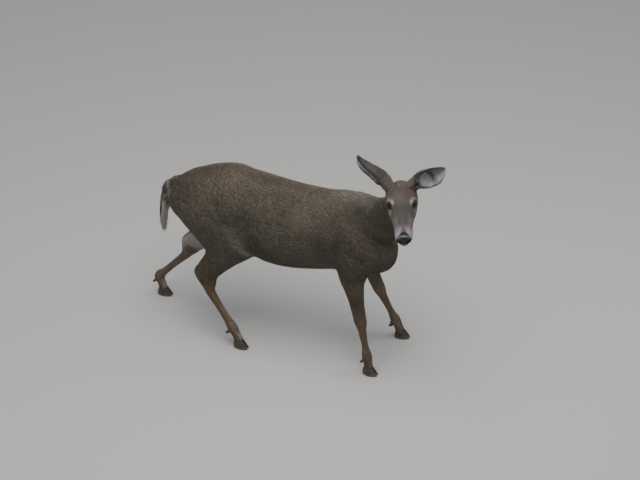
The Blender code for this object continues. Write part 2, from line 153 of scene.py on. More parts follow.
NECK_LINE = ((0.100, 0.000, 0.640), (0.205, -0.002, 0.674), (0.298, -0.020, 0.727),
             (0.352, -0.044, 0.796), (0.380, -0.066, 0.856), (0.389, -0.084, 0.904))
TAIL_LINE = ((-0.640, 0.000, 0.700), (-0.676, 0.000, 0.668), (-0.697, -0.001, 0.610),
             (-0.706, -0.003, 0.545), (-0.710, -0.005, 0.490), (-0.710, -0.006, 0.452))
FLESH = ("trunk", "neck", "head", "lower_jaw", "nose_pad", "tail", "foreleg_left", "foreleg_right",
         "hindleg_left", "hindleg_right")
GROW = 0.0007           # lets neighbouring parts run into each other before they grow together
BALL_SKIN = 0.0035      # flesh over each eyeball, out of which the lids are modelled
SKIN_VOXEL = 0.0074
MERGE = 1e-6            # corners closer than this are one
FINE_LEGS = 0.36        # below this height the legs are modelled finely


def to_frame(points, matrix):
    """Points of the model in that frame's own axes."""
    inverse = np.array(matrix.inverted())
    return points @ inverse[:3, :3].T + inverse[:3, 3]


def from_frame(points, matrix):
    """Points in that frame's own axes put back into the model's."""
    m = np.array(matrix)
    return points @ m[:3, :3].T + m[:3, 3]


def eye_middle(side):
    """The middle of an eyeball in the head's own axes."""
    return EYE_PLACE * (1, side, 1)


def unit(vectors):
    """The same directions, one long."""
    return vectors / np.maximum(np.linalg.norm(vectors, axis=-1, keepdims=True), 1e-12)


def step(low, high, value):
    """0 below `low`, 1 above `high`, smooth between; works the other way round too."""
    t = np.clip((value - low) / (high - low), 0.0, 1.0)
    return t * t * (3 - 2 * t)


def hump(value, middle, reach):
    """1 at `middle`, falling smoothly to 0 at `reach` on either side."""
    return np.clip(1 - ((value - middle) / reach) ** 2, 0, 1) ** 2


def near_line(points, line):
    """Distance from a bent line, the share of the way along it, and its direction there."""
    line = np.array(line)
    best = np.full(len(points), np.inf)
    share = np.zeros(len(points))
    heading = np.zeros((len(points), 3))
    for i in range(len(line) - 1):
        a, b = line[i], line[i + 1]
        t = np.clip((points - a) @ (b - a) / ((b - a) @ (b - a)), 0, 1)
        gap = np.linalg.norm(points - a - t[:, None] * (b - a), axis=1)
        closer = gap < best
        best[closer] = gap[closer]
        share[closer] = (i + t[closer]) / (len(line) - 1)
        heading[closer] = (b - a) / np.linalg.norm(b - a)
    return best, share, heading


def read(collection, name, width=1, kind=float):
    """A field of a mesh's points, faces or corners as an array."""
    values = np.empty(len(collection) * width, np.float32 if kind is float else np.int32)
    collection.foreach_get(name, values)
    return values.reshape(-1, width).astype(kind) if width > 1 else values.astype(kind)


def as_mesh(bm, name):
    """The work in hand written out as a new mesh."""
    mesh = bpy.data.meshes.new(name)
    bm.to_mesh(mesh)
    bm.free()
    return mesh


def applied(obj):
    """A new mesh of the object with its modifiers applied."""
    bpy.context.view_layer.update()
    return bpy.data.meshes.new_from_object(obj.evaluated_get(bpy.context.evaluated_depsgraph_get()))


def grow_skin():
    """The flesh nodes and the eyeballs grown together on a fine grid, as one closed mesh."""
    together = bmesh.new()
    for name in FLESH:
        part = bmesh.new()
        part.from_mesh(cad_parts[name].data)
        bmesh.ops.remove_doubles(part, verts=part.verts, dist=MERGE)
        part.normal_update()
        for vert in part.verts:
            vert.co += vert.normal * GROW
        mesh = as_mesh(part, "part")
        together.from_mesh(mesh)
        bpy.data.meshes.remove(mesh)
    for side in SIDES:
        place = HEAD @ Vector(eye_middle(side))
        bmesh.ops.create_icosphere(together, subdivisions=3, radius=EYE_RADIUS + BALL_SKIN,
                                   matrix=Matrix.Translation(place))
    obj = add_object("flesh", as_mesh(together, "flesh"))
    remesh = obj.modifiers.new("grow together", "REMESH")
    remesh.mode = "VOXEL"
    remesh.voxel_size = SKIN_VOXEL
    grown = applied(obj)
    bpy.data.objects.remove(obj)
    return grown


def refine(mesh, wanted):
    """Split the faces whose corners are all wanted, so that small forms can be modelled there."""
    keep = wanted(read(mesh.vertices, "co", 3))
    bm = bmesh.new()
    bm.from_mesh(mesh)
    bm.verts.ensure_lookup_table()
    edges = [e for e in bm.edges if keep[e.verts[0].index] and keep[e.verts[1].index]]
    bmesh.ops.subdivide_edges(bm, edges=edges, cuts=1, use_grid_fill=True)
    bmesh.ops.triangulate(bm, faces=[f for f in bm.faces if len(f.verts) > 4])
    bm.to_mesh(mesh)
    bm.free()


class Surface:
    """A mesh as arrays: points, triangles, edges, and what is worked out from them."""

    def __init__(self, mesh):
        self.mesh = mesh
        self.points = read(mesh.vertices, "co", 3)
        mesh.calc_loop_triangles()
        self.triangles = read(mesh.loop_triangles, "vertices", 3, int)
        self.edges = read(mesh.edges, "vertices", 2, int)
        self.degree = np.maximum(np.bincount(self.edges.ravel(), minlength=len(self.points)), 1)[:, None]

    def spread(self, values):
        """The mean of each point's neighbours."""
        count = len(self.points)
        a, b = self.edges[:, 0], self.edges[:, 1]
        total = [np.bincount(a, values[b, k], count) + np.bincount(b, values[a, k], count)
                 for k in range(values.shape[1])]
        return np.stack(total, axis=1) / self.degree

    def smooth(self, values, times):
        """The values eased towards their neighbours' that many times."""
        for _ in range(times):
            values = values + 0.5 * (self.spread(values) - values)
        return values

    def ease(self, times, mask=1.0):
        """Smooth the shape itself without shrinking it."""
        mask = np.broadcast_to(np.asarray(mask, float).reshape(-1, 1), (len(self.points), 1))
        for _ in range(times):
            self.points = self.points + 0.5 * mask * (self.spread(self.points) - self.points)
            self.points = self.points - 0.52 * mask * (self.spread(self.points) - self.points)

    def normals(self):
        """The way out of the surface at each point."""
        p, t = self.points, self.triangles
        cross = np.cross(p[t[:, 1]] - p[t[:, 0]], p[t[:, 2]] - p[t[:, 0]])
        return unit(np.stack([sum(np.bincount(t[:, c], cross[:, k], len(p)) for c in range(3))
                              for k in range(3)], axis=1))

    def write(self):
        """Put the points back into the mesh."""
        self.mesh.vertices.foreach_set("co", self.points.astype(np.float32).ravel())
        self.mesh.update()

    def push(self, matrix, centre, reach, shift, sides=(1,)):
        """Move the skin near `centre` by `shift`, fading out over `reach`, in that frame's axes."""
        local = to_frame(self.points, matrix)
        for side in sides:
            flip = np.array((1.0, side, 1.0))
            gap = (local - np.array(centre) * flip) / np.array(reach)
            fade = np.clip(1 - (gap ** 2).sum(1), 0, 1)[:, None] ** 2
            local = local + fade * np.array(shift) * flip
        self.points = from_frame(local, matrix)

    def swell(self, matrix, line, reach, amount, sides=(1,)):
        """Raise or sink the skin along a line by `amount`, fading out over `reach`."""
        for side in sides:
            points = from_frame(np.array(line) * (1, side, 1), matrix)
            gap, _, _ = near_line(self.points, points)
            fade = hump(gap, 0.0, reach)[:, None]
            self.points = self.points + fade * amount * self.normals()


def head_box(points, low, high):
    """Which points lie in a box in the head's own axes: low ahead and up, high ahead, sideways and up."""
    ahead, wide, rise = to_frame(points, HEAD).T
    return ((ahead > low[0]) & (ahead < high[0]) & (abs(wide) < high[1]) & (rise > low[1]) & (rise < high[2]))


def from_eyes(local):
    """Distance from the middle of the nearer eyeball."""
    return np.minimum(*[np.linalg.norm(local - eye_middle(side), axis=1) for side in SIDES])


def near_eyes(points, reach):
    """Which points lie that close to the middle of an eyeball."""
    return from_eyes(to_frame(points, HEAD)) < reach


body = grow_skin()
# finer and finer: the head and the lower legs, then round the eyes and the muzzle, then lids and nostrils
refine(body, lambda p: head_box(p, (-0.03, -0.15), (0.30, 0.075, 0.15)) | (p[:, 2] < FINE_LEGS))
refine(body, lambda p: near_eyes(p, 0.034) | head_box(p, (0.165, -0.10), (0.30, 0.07, 1.0)))
refine(body, lambda p: near_eyes(p, 0.027) | head_box(p, (0.228, -0.055), (0.28, 0.05, 1.0)))
skin = Surface(body)
skin.ease(14)
DRAWING = Matrix.Translation(Vector(SHIFT))     # the drawing's axes

NAPE = np.array((0.018, 0.0, -0.080))           # where head and neck part, and square to that cut
NAPE_WAY = unit(np.array((0.72, 0.0, 0.69)))
SHOULDER = np.array((0.226, -0.004, 0.664))     # where neck and trunk part
SHOULDER_WAY = np.array((0.76, -0.03, 0.65))


class Places:
    """Each point's place in the head's and the drawing's axes, and how far it belongs to each part."""

    def __init__(self, points, on_ear=0.0):
        self.local = to_frame(points, HEAD)
        self.plain = points - SHIFT
        x, y, z = self.plain.T
        before_nape = step(-0.02, 0.02, (self.local - NAPE) @ NAPE_WAY)
        from_middle = np.linalg.norm(self.local - (0.12, 0, -0.05), axis=1)
        self.head = before_nape * step(0.30, 0.26, from_middle) * (1 - on_ear)
        before_shoulder = step(-0.06, 0.06, (self.plain - SHOULDER) @ SHOULDER_WAY)
        self.neck = before_shoulder * (1 - self.head) * (1 - on_ear)
        tail_gap, self.tail_share, self.tail_way = near_line(self.plain, TAIL_LINE)
        self.tail = step(0.060, 0.036, tail_gap) * step(-0.655, -0.675, x)
        self.leg_gap = np.full(len(points), np.inf)
        self.leg_way = np.zeros((len(points), 3))
        self.leg_kind = np.zeros(len(points))   # 1 fore, 2 hind
        for kind, legs in ((1, FORELEGS), (2, HINDLEGS)):
            for side in SIDES:
                gap, _, way = near_line(self.plain, legs[side])
                closer = gap < self.leg_gap
                self.leg_gap[closer] = gap[closer]
                self.leg_way[closer] = way[closer]
                self.leg_kind[closer] = kind
        self.leg = step(0.50, 0.40, z) * (1 - self.tail)
        self.shank = step(0.36, 0.26, z) * (1 - self.tail)


at = Places(skin.points)


def mixed(base, *layers):
    """A base value under layers, each a value and how far it covers what lies below."""
    for value, mask in layers:
        base = base * (1 - mask) + value * mask
    return base


# ---- the coat's depth, and the skin drawn in by it
face_depth = 0.0032 - 0.0018 * step(0.10, 0.20, at.local[:, 0])
depth = mixed(0.0078 + 0.0015 * step(-0.45, -0.60, at.plain[:, 0]), (0.0038, at.leg), (0.0006, at.shank),
              (0.0075, at.neck), (face_depth, at.head), (0.0100, at.tail))
depth = skin.smooth(depth[:, None], 12)
skin.points = skin.points - (depth + GROW) * skin.normals()
skin.ease(3, 1 - at.head * 0.5)

# ---- bones, muscles and tendons that show through the coat, in the drawing's axes
MIDDLE = (1,)           # once, and not on both sides
skin.swell(DRAWING, ((0.095, 0.078, 0.735), (0.180, 0.112, 0.655), (0.268, 0.104, 0.570)),
           0.050, 0.0050, SIDES)                # the shoulder blade's ridge
BODY_FORMS = (
    # centre, reach, shift, on which sides
    ((0.285, 0.085, 0.550), (0.055, 0.050, 0.055), (0.004, 0.005, 0.0), SIDES),      # point of shoulder
    ((0.040, 0.150, 0.600), (0.055, 0.090, 0.120), (0.0, -0.007, 0.0), SIDES),       # behind the blade
    ((0.150, 0.128, 0.540), (0.080, 0.080, 0.060), (0.0, 0.005, 0.0), SIDES),        # the upper arm
    ((0.090, 0.125, 0.480), (0.040, 0.060, 0.040), (-0.004, 0.004, 0.0), SIDES),     # elbow
    ((-0.130, 0.150, 0.570), (0.170, 0.100, 0.130), (0.0, 0.005, 0.0), SIDES),       # ribs
    ((-0.315, 0.140, 0.640), (0.085, 0.100, 0.085), (0.0, -0.010, 0.0), SIDES),      # flank hollow
    ((-0.375, 0.095, 0.765), (0.060, 0.060, 0.050), (0.0, 0.004, 0.004), SIDES),     # hip bone
    ((-0.480, 0.130, 0.600), (0.110, 0.090, 0.110), (0.0, 0.006, 0.0), SIDES),       # thigh muscle
    ((-0.590, 0.060, 0.735), (0.060, 0.050, 0.050), (-0.002, 0.003, 0.003), SIDES),  # seat bone
    ((-0.270, 0.120, 0.450), (0.090, 0.060, 0.060), (0.0, 0.004, 0.0), SIDES),       # fold of the flank
    ((0.135, 0.015, 0.800), (0.110, 0.095, 0.080), (0.0, 0.0, 0.0125), MIDDLE),      # withers
)
for form in BODY_FORMS:
    skin.push(DRAWING, *form)
for rib in range(5):                            # faint ribs along the barrel
    x = -0.03 - 0.045 * rib
    skin.swell(DRAWING, ((x + 0.020, 0.130, 0.700), (x, 0.150, 0.600), (x - 0.010, 0.130, 0.500)),
               0.016, 0.0012, SIDES)
skin.swell(DRAWING, ((-0.640, 0.0, 0.735), (-0.400, 0.0, 0.806), (-0.200, 0.0, 0.792), (0.100, 0.0, 0.786)),
           0.030, 0.0020)                       # the spine's ridge

for side in SIDES:
    _, elbow, knee, fore_fetlock, _ = np.array(FORELEGS[side])
    # the knee: its flat front, the bone behind it and the hollow below that, then the forearm's muscle
    skin.push(DRAWING, knee + (0.016, 0, 0.006), (0.024, 0.030, 0.040), (0.0030, 0, 0))
    skin.push(DRAWING, knee + (-0.020, 0, 0.010), (0.016, 0.024, 0.024), (-0.0035, 0, 0))
    skin.push(DRAWING, knee + (-0.010, 0, -0.045), (0.020, 0.026, 0.030), (0.0022, 0, 0))
    skin.push(DRAWING, elbow + (0.030, 0.010 * side, -0.080), (0.050, 0.040, 0.080), (0.003, 0.003 * side, 0))
    _, gaskin, hock, cannon, hind_fetlock, _ = np.array(HINDLEGS[side])
    for face in SIDES:
        # the hollow before the hock's tendon, and the grooves along both cannons
        skin.push(DRAWING, gaskin * 0.35 + hock * 0.65 + (-0.004, 0.022 * face, 0.006), (0.022, 0.022, 0.045),
                  (0, -0.0060 * face, 0))
        for upper, lower in ((knee, fore_fetlock), (cannon, hind_fetlock)):
            skin.push(DRAWING, (upper + lower) / 2 + (-0.004, 0.014 * face, 0), (0.008, 0.014, 0.085),
                      (0, -0.0009 * face, 0))
    # the point of the hock, then the sleeve of tendons down each cannon and the swollen fetlock
    skin.push(DRAWING, hock + (-0.026, 0, -0.004), (0.034, 0.030, 0.038), (-0.0150, 0, 0.004))
    for upper, joint in ((knee, fore_fetlock), (cannon, hind_fetlock)):
        along = unit(joint - upper)
        skin.swell(DRAWING, (upper * 0.6 + joint * 0.4, joint), 0.045, 0.0010)
        skin.swell(DRAWING, (joint - along * 0.006, joint + along * 0.012), 0.040, 0.0036)

INTO_HOOVES = 0.0080    # how far the feet reach down into the hooves
skin.points[:, 2] = skin.points[:, 2] - INTO_HOOVES * step(0.060, 0.042, skin.points[:, 2])

# ---- the head, in its own axes: brow, cheek, muzzle, lips and chin
HEAD_FORMS = (
    # centre, reach, shift, on which sides
    ((0.080, 0.052, 0.002), (0.032, 0.020, 0.018), (0, 0.0018, 0.0030), SIDES),      # brow over the eye
    ((0.120, 0.050, -0.052), (0.040, 0.020, 0.016), (0, 0.0024, 0.0), SIDES),        # cheek bone
    ((0.140, 0.046, -0.028), (0.030, 0.020, 0.016), (0, -0.0032, 0.0), SIDES),       # hollow before the eye
    ((0.168, 0.043, -0.060), (0.045, 0.022, 0.020), (0, -0.0028, 0.0), SIDES),       # along the cheek teeth
    ((0.060, 0.000, 0.010), (0.040, 0.020, 0.020), (0, 0, -0.0016), MIDDLE),         # between the brows
    ((0.222, 0.036, -0.044), (0.028, 0.018, 0.016), (0, 0.0020, 0.0), SIDES),        # upper lip
    ((0.180, 0.000, -0.004), (0.060, 0.014, 0.016), (0, 0, 0.0018), MIDDLE),         # bridge
    ((0.060, 0.050, -0.110), (0.045, 0.024, 0.030), (0, 0.0030, 0.0), SIDES),        # jaw's angle
    ((0.242, 0.028, -0.058), (0.026, 0.022, 0.020), (-0.001, -0.0090, 0.0), SIDES),  # narrow lips
    ((0.252, 0.000, -0.066), (0.022, 0.020, 0.014), (0.0060, 0, 0.0020), MIDDLE),    # the chin comes forward
    ((0.004, 0.000, -0.004), (0.080, 0.060, 0.060), (-0.0050, 0, 0.0034), MIDDLE),   # the poll's full hair
    ((0.030, 0.052, -0.034), (0.052, 0.030, 0.046), (0.004, 0.0075, 0.0), SIDES),    # below the ear's root
)
for form in HEAD_FORMS:
    skin.push(HEAD, *form)
skin.ease(2, 0.6)


def mouth_level(forward):
    """Height of the slit between the lips, which curves up to its corner."""
    return -0.0575 + 0.11 * (forward - 0.15) + 0.004 * step(0.205, 0.165, forward)


NOSTRIL = np.array(((0.2555, 0.0120, -0.0395), (0.2550, 0.0185, -0.0345), (0.2490, 0.0255, -0.0310),
                    (0.2410, 0.0305, -0.0335)))
NOSTRIL_WIDE = 0.0036   # half width at its round front end; the tail that curls back is half that


def from_nostrils(local):
    """How far outside the edge of the nearer nostril each point lies."""
    best = np.full(len(local), np.inf)
    for side in SIDES:
        gap, share, _ = near_line(local, NOSTRIL * (1, side, 1))
        best = np.minimum(best, gap - NOSTRIL_WIDE * (1 - 0.55 * share))
    return best


def pad_edge(local):
    """Above 0 on the naked nose: from a point on the bridge it widens to the nostrils' outer ends."""
    ahead, wide, rise = local.T
    back_edge = 0.2225 + 0.0150 * step(0.002, 0.026, abs(wide)) + 0.004 * step(0.024, 0.034, abs(wide))
    return ahead - back_edge + 0.30 * (rise + 0.014) * step(0.020, 0.032, abs(wide))


# ---- the slit of the mouth between full lips, the pad's rim, ridge and furrow, and the nostrils' wings
local = to_frame(skin.points, HEAD)
ahead, wide, rise = local.T
from_mouth = rise - mouth_level(ahead)
mouth = hump(from_mouth, 0.0, 0.0034) * step(0.155, 0.180, ahead) * step(0.30, 0.27, ahead)
lips = hump(from_mouth, 0.0, 0.0085) * step(0.165, 0.200, ahead)
on_pad = step(-0.0015, 0.0015, pad_edge(local)) * step(0.0, 0.002, from_mouth)
furrow = np.clip(1 - abs(wide) / 0.0022, 0, 1) * step(0.246, 0.254, ahead) * step(-0.026, -0.034, rise)
wing = hump(from_nostrils(local), 0.0030, 0.0040)
ridge = on_pad * hump(ahead, 0.2430, 0.0070) * step(0.030, 0.020, abs(wide))
sunk = (0.0034 * mouth - 0.0012 * lips * (1 - mouth) - 0.0008 * on_pad - 0.0016 * ridge + 0.0014 * furrow
        - 0.0016 * wing)
skin.points = skin.points - skin.normals() * sunk[:, None]
NOSTRIL_DEPTH = 0.0085
nostril = step(0.0009, -0.0016, from_nostrils(local))
skin.points = skin.points + np.outer(nostril * NOSTRIL_DEPTH, HEAD_AXES @ np.array((-1.0, 0.0, -0.15)))

# ---- lids: a thick dark rim that wraps the eyeball, open in a long almond with a tear duct in front
GAZE = unit(np.array((0.42, 0.82, 0.40)))
LID_FRONT = math.radians(54.0)      # the opening's edges, as angles about the ball's middle
LID_REAR = math.radians(46.0)
LID_UP = math.radians(47.0)
LID_DOWN = math.radians(31.0)
LID_STANDS = 0.0016                 # the lids' thickness over the ball
SOCKET_DEPTH = 0.0022               # the skin behind the opening lies this far inside the ball


def eye_axes(side):
    """The way an eye looks, its long axis towards the tear duct, and up across the lids."""
    gaze = GAZE * (1, side, 1)
    long = np.array((0.90, 0.0, -0.30))
    long = unit(long - gaze * (long @ gaze))
    up = np.cross(long, gaze)
    return gaze, long, up * np.sign(up[2])


def lid_edge(out, side):
    """-1 in the middle of the eye's opening, 0 on the lids' edge, more outside it."""
    gaze, long, up = eye_axes(side)
    across = np.arctan2(out @ long, out @ gaze)
    height = np.arctan2(out @ up, out @ gaze)
    across = across / np.where(across > 0, LID_FRONT, LID_REAR)
    height = height / np.where(height > 0, LID_UP, LID_DOWN)
    return (abs(across) ** 1.4 + abs(height) ** 1.8) ** 0.62 - 1


def tear_duct(side):
    """The line of the groove that runs from the eye's front corner down the face."""
    gaze, long, _ = eye_axes(side)
    start = eye_middle(side) + (long * math.sin(LID_FRONT) + gaze * math.cos(LID_FRONT)) * EYE_RADIUS
    return np.array((start, start + (0.006, -0.0018 * side, -0.0030),
                     start + (0.013, -0.0036 * side, -0.0070)))


local = to_frame(skin.points, HEAD)
for side in SIDES:
    middle = eye_middle(side)
    gaze, _, up = eye_axes(side)
    out = local - middle
    radius = np.linalg.norm(out, axis=1)
    out = unit(out)
    edge = lid_edge(out, side)
    near = (radius < 0.040) & (out @ gaze > 0.02)
    # the lids lie on the ball, thicker above, roll over at the opening and turn in behind its edge
    lids = EYE_RADIUS + LID_STANDS + 0.0008 * (out @ up > 0) * hump(edge, 0.10, 0.30)
    floor_of_socket = EYE_RADIUS - SOCKET_DEPTH
    opening = floor_of_socket + (lids - floor_of_socket) * step(-0.09, 0.02, edge)
    # a crease between the lid and the brow, then the face itself, never below the ball
    face = np.maximum(radius, EYE_RADIUS + 0.0012) - 0.0010 * hump(edge, 0.42, 0.12)
    outside = lids + (face - lids) * step(0.14, 0.55, edge)
    radius = np.where(near, np.where(edge < 0.02, opening, outside), radius)
    local = np.where(near[:, None], middle + out * radius[:, None], local)
    gap, share, _ = near_line(local, tear_duct(side))
    groove = hump(gap, 0.0, 0.0036) * (1 - 0.6 * share)
    local = local - np.outer(groove * 0.0022, np.array((0.10, 0.95 * side, 0.20)))
skin.points = from_frame(local, HEAD)
finest = step(0.034, 0.028, from_eyes(local))
skin.ease(2, 0.5 * finest)
skin.write()


# ======================================================================= the ears
# Thin cups of gristle under short hair, rolled at the base, with low folds inside.  They turn on
# their own, one forward and one back here, and each grows out of the hide.
EAR_LENGTH = 0.178
EAR_WIDTH = 0.078
EAR_SKIN = 0.0030
EAR_BASE = np.array((0.012, 0.042, -0.020))
# the way each ear points and the way it opens, in the head's own axes
EARS = {1: ((-0.045, 0.755, 0.654), (0.900, -0.360, 0.240)),
        -1: ((-0.640, -0.660, 0.393), (0.655, -0.724, -0.155))}
# share of the length, half width, half angle of the cup in degrees, bend towards the opening
EAR_SHAPE = ((-0.10, 0.52, 176.0, -0.07), (0.06, 0.57, 176.0, -0.11), (0.17, 0.66, 174.0, -0.145),
             (0.24, 0.74, 152.0, -0.146), (0.31, 0.83, 127.0, -0.143), (0.44, 0.95, 104.0, -0.115),
             (0.58, 1.00, 95.0, -0.082), (0.74, 0.95, 88.0, -0.040), (0.88, 0.66, 80.0, 0.0),
             (0.96, 0.36, 73.0, 0.012), (0.99, 0.13, 70.0, 0.018))
EAR_STEPS = 22          # points across each face of the cup
EAR_FOLDS = 0.0011      # height of the low folds inside


def fill_between(rows, steps):
    """A smooth curve through rows of numbers, `steps` pieces to each gap."""
    rows = np.array(rows, float)
    ends = np.vstack([2 * rows[0] - rows[1], rows, 2 * rows[-1] - rows[-2]])
    out = []
    for i in range(1, len(ends) - 2):
        a, b, c, d = ends[i - 1:i + 3]
        for t in np.arange(steps) / steps:
            out.append(0.5 * (2 * b + (c - a) * t + (2 * a - 5 * b + 4 * c - d) * t ** 2
                              + (3 * b - a - 3 * c + d) * t ** 3))
    out.append(rows[-1])
    return np.array(out)


EAR_ROWS = fill_between(EAR_SHAPE, 6)


def loft_mesh(name, rings):
    """A closed mesh through rings of equally many points, capped at both ends."""
    count = len(rings[0])
    verts = [tuple(p) for ring in rings for p in ring]
    faces = [(i + j, i + (j + 1) % count, i + count + (j + 1) % count, i + count + j)
             for i in range(0, (len(rings) - 1) * count, count) for j in range(count)]
    faces.append(tuple(range(count)))
    faces.append(tuple((len(rings) - 1) * count + j for j in range(count)))
    mesh = bpy.data.meshes.new(name)
    mesh.from_pydata(verts, [], faces)
    bm = bmesh.new()
    bm.from_mesh(mesh)
    bmesh.ops.recalc_face_normals(bm, faces=bm.faces)
    bm.to_mesh(mesh)
    bm.free()
    return mesh


def ear_axes(side):
    """Where an ear starts, the way it points, the way it opens, and across it."""
    axis, opening = (HEAD_AXES @ np.array(v) for v in EARS[side])
    axis = unit(axis)
    opening = unit(opening - axis * (opening @ axis))
    return np.array(HEAD @ Vector(EAR_BASE * (1, side, 1))), axis, opening, np.cross(axis, opening)


def make_ear(side):
    """One ear as a closed cup: its inner face out to one rim, then its outer face back."""
    base, axis, opening, across = ear_axes(side)
    rings = []
    for share, half_width, angle, bend in EAR_ROWS:
        wall = EAR_SKIN * (1.15 - 0.45 * max(share, 0.0))
        radius = half_width * EAR_WIDTH / 2 / math.sin(math.radians(min(angle, 90.0)))
        centre = base + axis * (share * EAR_LENGTH) + opening * (bend * EAR_LENGTH)
        folded = EAR_FOLDS * step(0.10, 0.35, share) * step(0.95, 0.6, share)
        ring = []
        for layer, turn in ((0.5, 1), (-0.5, -1)):
            for j in range(EAR_STEPS):
                edge = 2 * j / (EAR_STEPS - 1) - 1
                t = math.radians(angle) * edge * turn
                thick = layer * wall * (0.35 + 0.65 * (1 - edge ** 8))
                thick -= (layer < 0) * radius * 0.92 * step(0.36, 0.22, share)     # the cup's bottom
                fold = folded * math.sin(9.0 * t) * (layer < 0)
                r = max(radius + thick + fold, 0.0006)
                ring.append(centre + opening * (radius - r * math.cos(t)) + across * (r * math.sin(t)))
        rings.append(ring)
    return loft_mesh("ear", rings)


def union(base, extra):
    """Grow one closed mesh out of another."""
    target, tool = add_object("target", base), add_object("tool", extra)
    modifier = target.modifiers.new("grow out", "BOOLEAN")
    modifier.operation = "UNION"
    modifier.solver = "MANIFOLD"
    modifier.object = tool
    result = applied(target)
    bpy.data.objects.remove(target)
    bpy.data.objects.remove(tool)
    return result


hide = union(union(body, make_ear(1)), make_ear(-1))
skin = Surface(hide)
count = len(skin.points)
normal = skin.normals()

# ---- how much of each place is ear, which face of it, and where on it
on_ear = np.zeros(count)
ear_inside = np.zeros(count)
ear_share = np.zeros(count)
ear_turn = np.zeros(count)      # -1 at one rim of the cup, 0 along its middle, 1 at the other rim
ear_way = np.zeros((count, 3))
for side in SIDES:
    base, axis, opening, across = ear_axes(side)
    out = skin.points - base
    share = out @ axis / EAR_LENGTH
    half_width, angle, bend = (np.interp(share, EAR_ROWS[:, 0], EAR_ROWS[:, k]) for k in (1, 2, 3))
    angle = np.radians(angle)
    radius = half_width * EAR_WIDTH / 2 / np.sin(np.minimum(angle, math.pi / 2))
    spine = np.outer(share * EAR_LENGTH, axis) + np.outer(bend * EAR_LENGTH + radius, opening)
    off = out - spine
    gap = np.linalg.norm(off - np.outer(off @ axis, axis), axis=1) - radius
    mine = step(0.17, 0.25, share) * step(0.012, 0.007, gap)
    turn = np.arctan2(off @ across, -(off @ opening)) / np.maximum(angle, 0.001)
    chosen = mine > 0
    on_ear = np.maximum(on_ear, mine)
    ear_share[chosen] = share[chosen]
    ear_turn[chosen] = (turn * side)[chosen].clip(-1, 1)
    ear_inside[chosen] = (gap < 0)[chosen]
    ear_way[chosen] = axis
ear_edge = abs(ear_turn)

# ======================================================================= the lie of the coat
# Winter hair lies back along the body and down the limbs, from nose to poll, and from base to tip of
# the ears and tail.  It is long on rump, belly and tail and very short on face, ears and shanks.
at = Places(skin.points, on_ear)
x, y, z = at.plain.T
ahead, wide, rise = at.local.T
beside = abs(wide)
head_normal = normal @ HEAD_AXES
outward = normal[:, 1] * np.sign(y)             # 1 on a limb's outer face, -1 on its inner one
near_leg = step(0.56, 0.42, z) * (1 - at.tail) * step(0.13, 0.08, at.leg_gap)
upper_leg = near_leg * (1 - at.shank)
chest = step(0.22, 0.34, x) * step(0.70, 0.60, z)
_, _, neck_heading = near_line(at.plain, NECK_LINE)

# ---- its direction: the first row holds all over, and each later one where its mask says
lie = np.stack([-np.ones(count), np.zeros(count), -0.12 - 0.55 * step(0.74, 0.48, z)], axis=1)
for way, mask in (((-0.35, 0.0, -1.0), step(-0.46, -0.62, x)), ((-0.30, 0.0, -1.0), chest),
                  (at.leg_way + (0, 0, -0.25), near_leg), ((-0.25, 0.0, -0.25) - neck_heading, at.neck),
                  (HEAD_AXES @ np.array((-1.0, 0.0, -0.10)), at.head), (at.tail_way, at.tail),
                  (ear_way, on_ear)):
    lie = mixed(lie, (np.array(way), mask[:, None]))


def along_skin(ways):
    """Those directions laid flat on the skin."""
    return unit(ways - normal * (ways * normal).sum(1)[:, None])


lie = along_skin(skin.smooth(along_skin(lie), 25))
# two smooth fields that vary at random: broad swirls and fine flecks
swirls = skin.smooth(rng.normal(size=(count, 2)), 70)
swirls = swirls / swirls.std(axis=0)
flecks = skin.smooth(rng.normal(size=(count, 2)), 5)
flecks = flecks / flecks.std(axis=0)
turned = 0.10 * swirls[:, :1] * (1 - 0.7 * (at.head + on_ear))[:, None]
lie = along_skin(lie + np.cross(normal, lie) * turned)

# ---- length, width and lift of the tufts, in metres
under = step(-0.30, -0.65, normal[:, 2]) * step(0.56, 0.50, z) * (1 - at.shank)
front_face = at.head * step(0.03, 0.10, ahead)
muzzle = at.head * step(0.15, 0.21, ahead)
inner_ear = on_ear * ear_inside
rump = step(-0.48, -0.62, x)
cup_floor = inner_ear * step(0.20, 0.50, (normal * ear_way).sum(1))
at_rim = on_ear * step(0.60, 0.80, ear_edge)
coronet = step(0.062, 0.048, z)
ear_root = np.zeros(count)       # round the ears' roots, where the hair is long and stands out
for side in SIDES:
    base, axis, _, _ = ear_axes(side)
    gap, _, _ = near_line(skin.points, (base, base + axis * 0.30 * EAR_LENGTH))
    ear_root = np.maximum(ear_root, step(0.052, 0.034, gap))
crest = step(0.060, 0.020, abs(y)) * step(0.74, 0.78, z) * step(0.02, 0.09, x) * step(0.27, 0.20, x)
tuft_length = mixed(0.027, (0.034, rump), (0.032, under), (0.030, chest), (0.018, upper_leg),
                    (0.0105, at.shank), (0.0170, coronet), (0.024, at.neck), (0.0120, at.head),
                    (0.0080, front_face), (0.0046, muzzle), (0.046, at.tail), (0.0085, on_ear),
                    (0.0150, inner_ear), (0.0170, ear_root * (1 - ear_inside)),
                    (0.0160, ear_root * ear_inside * (1 - at_rim)), (0.0050, cup_floor), (0.032, crest))
tuft_width = mixed(0.0020, (0.0017, upper_leg), (0.0012, at.shank), (0.0019, at.neck), (0.0012, at.head),
                   (0.0009, front_face), (0.0007, muzzle), (0.0021, at.tail), (0.0010, on_ear),
                   (0.0008, inner_ear), (0.0013, ear_root))
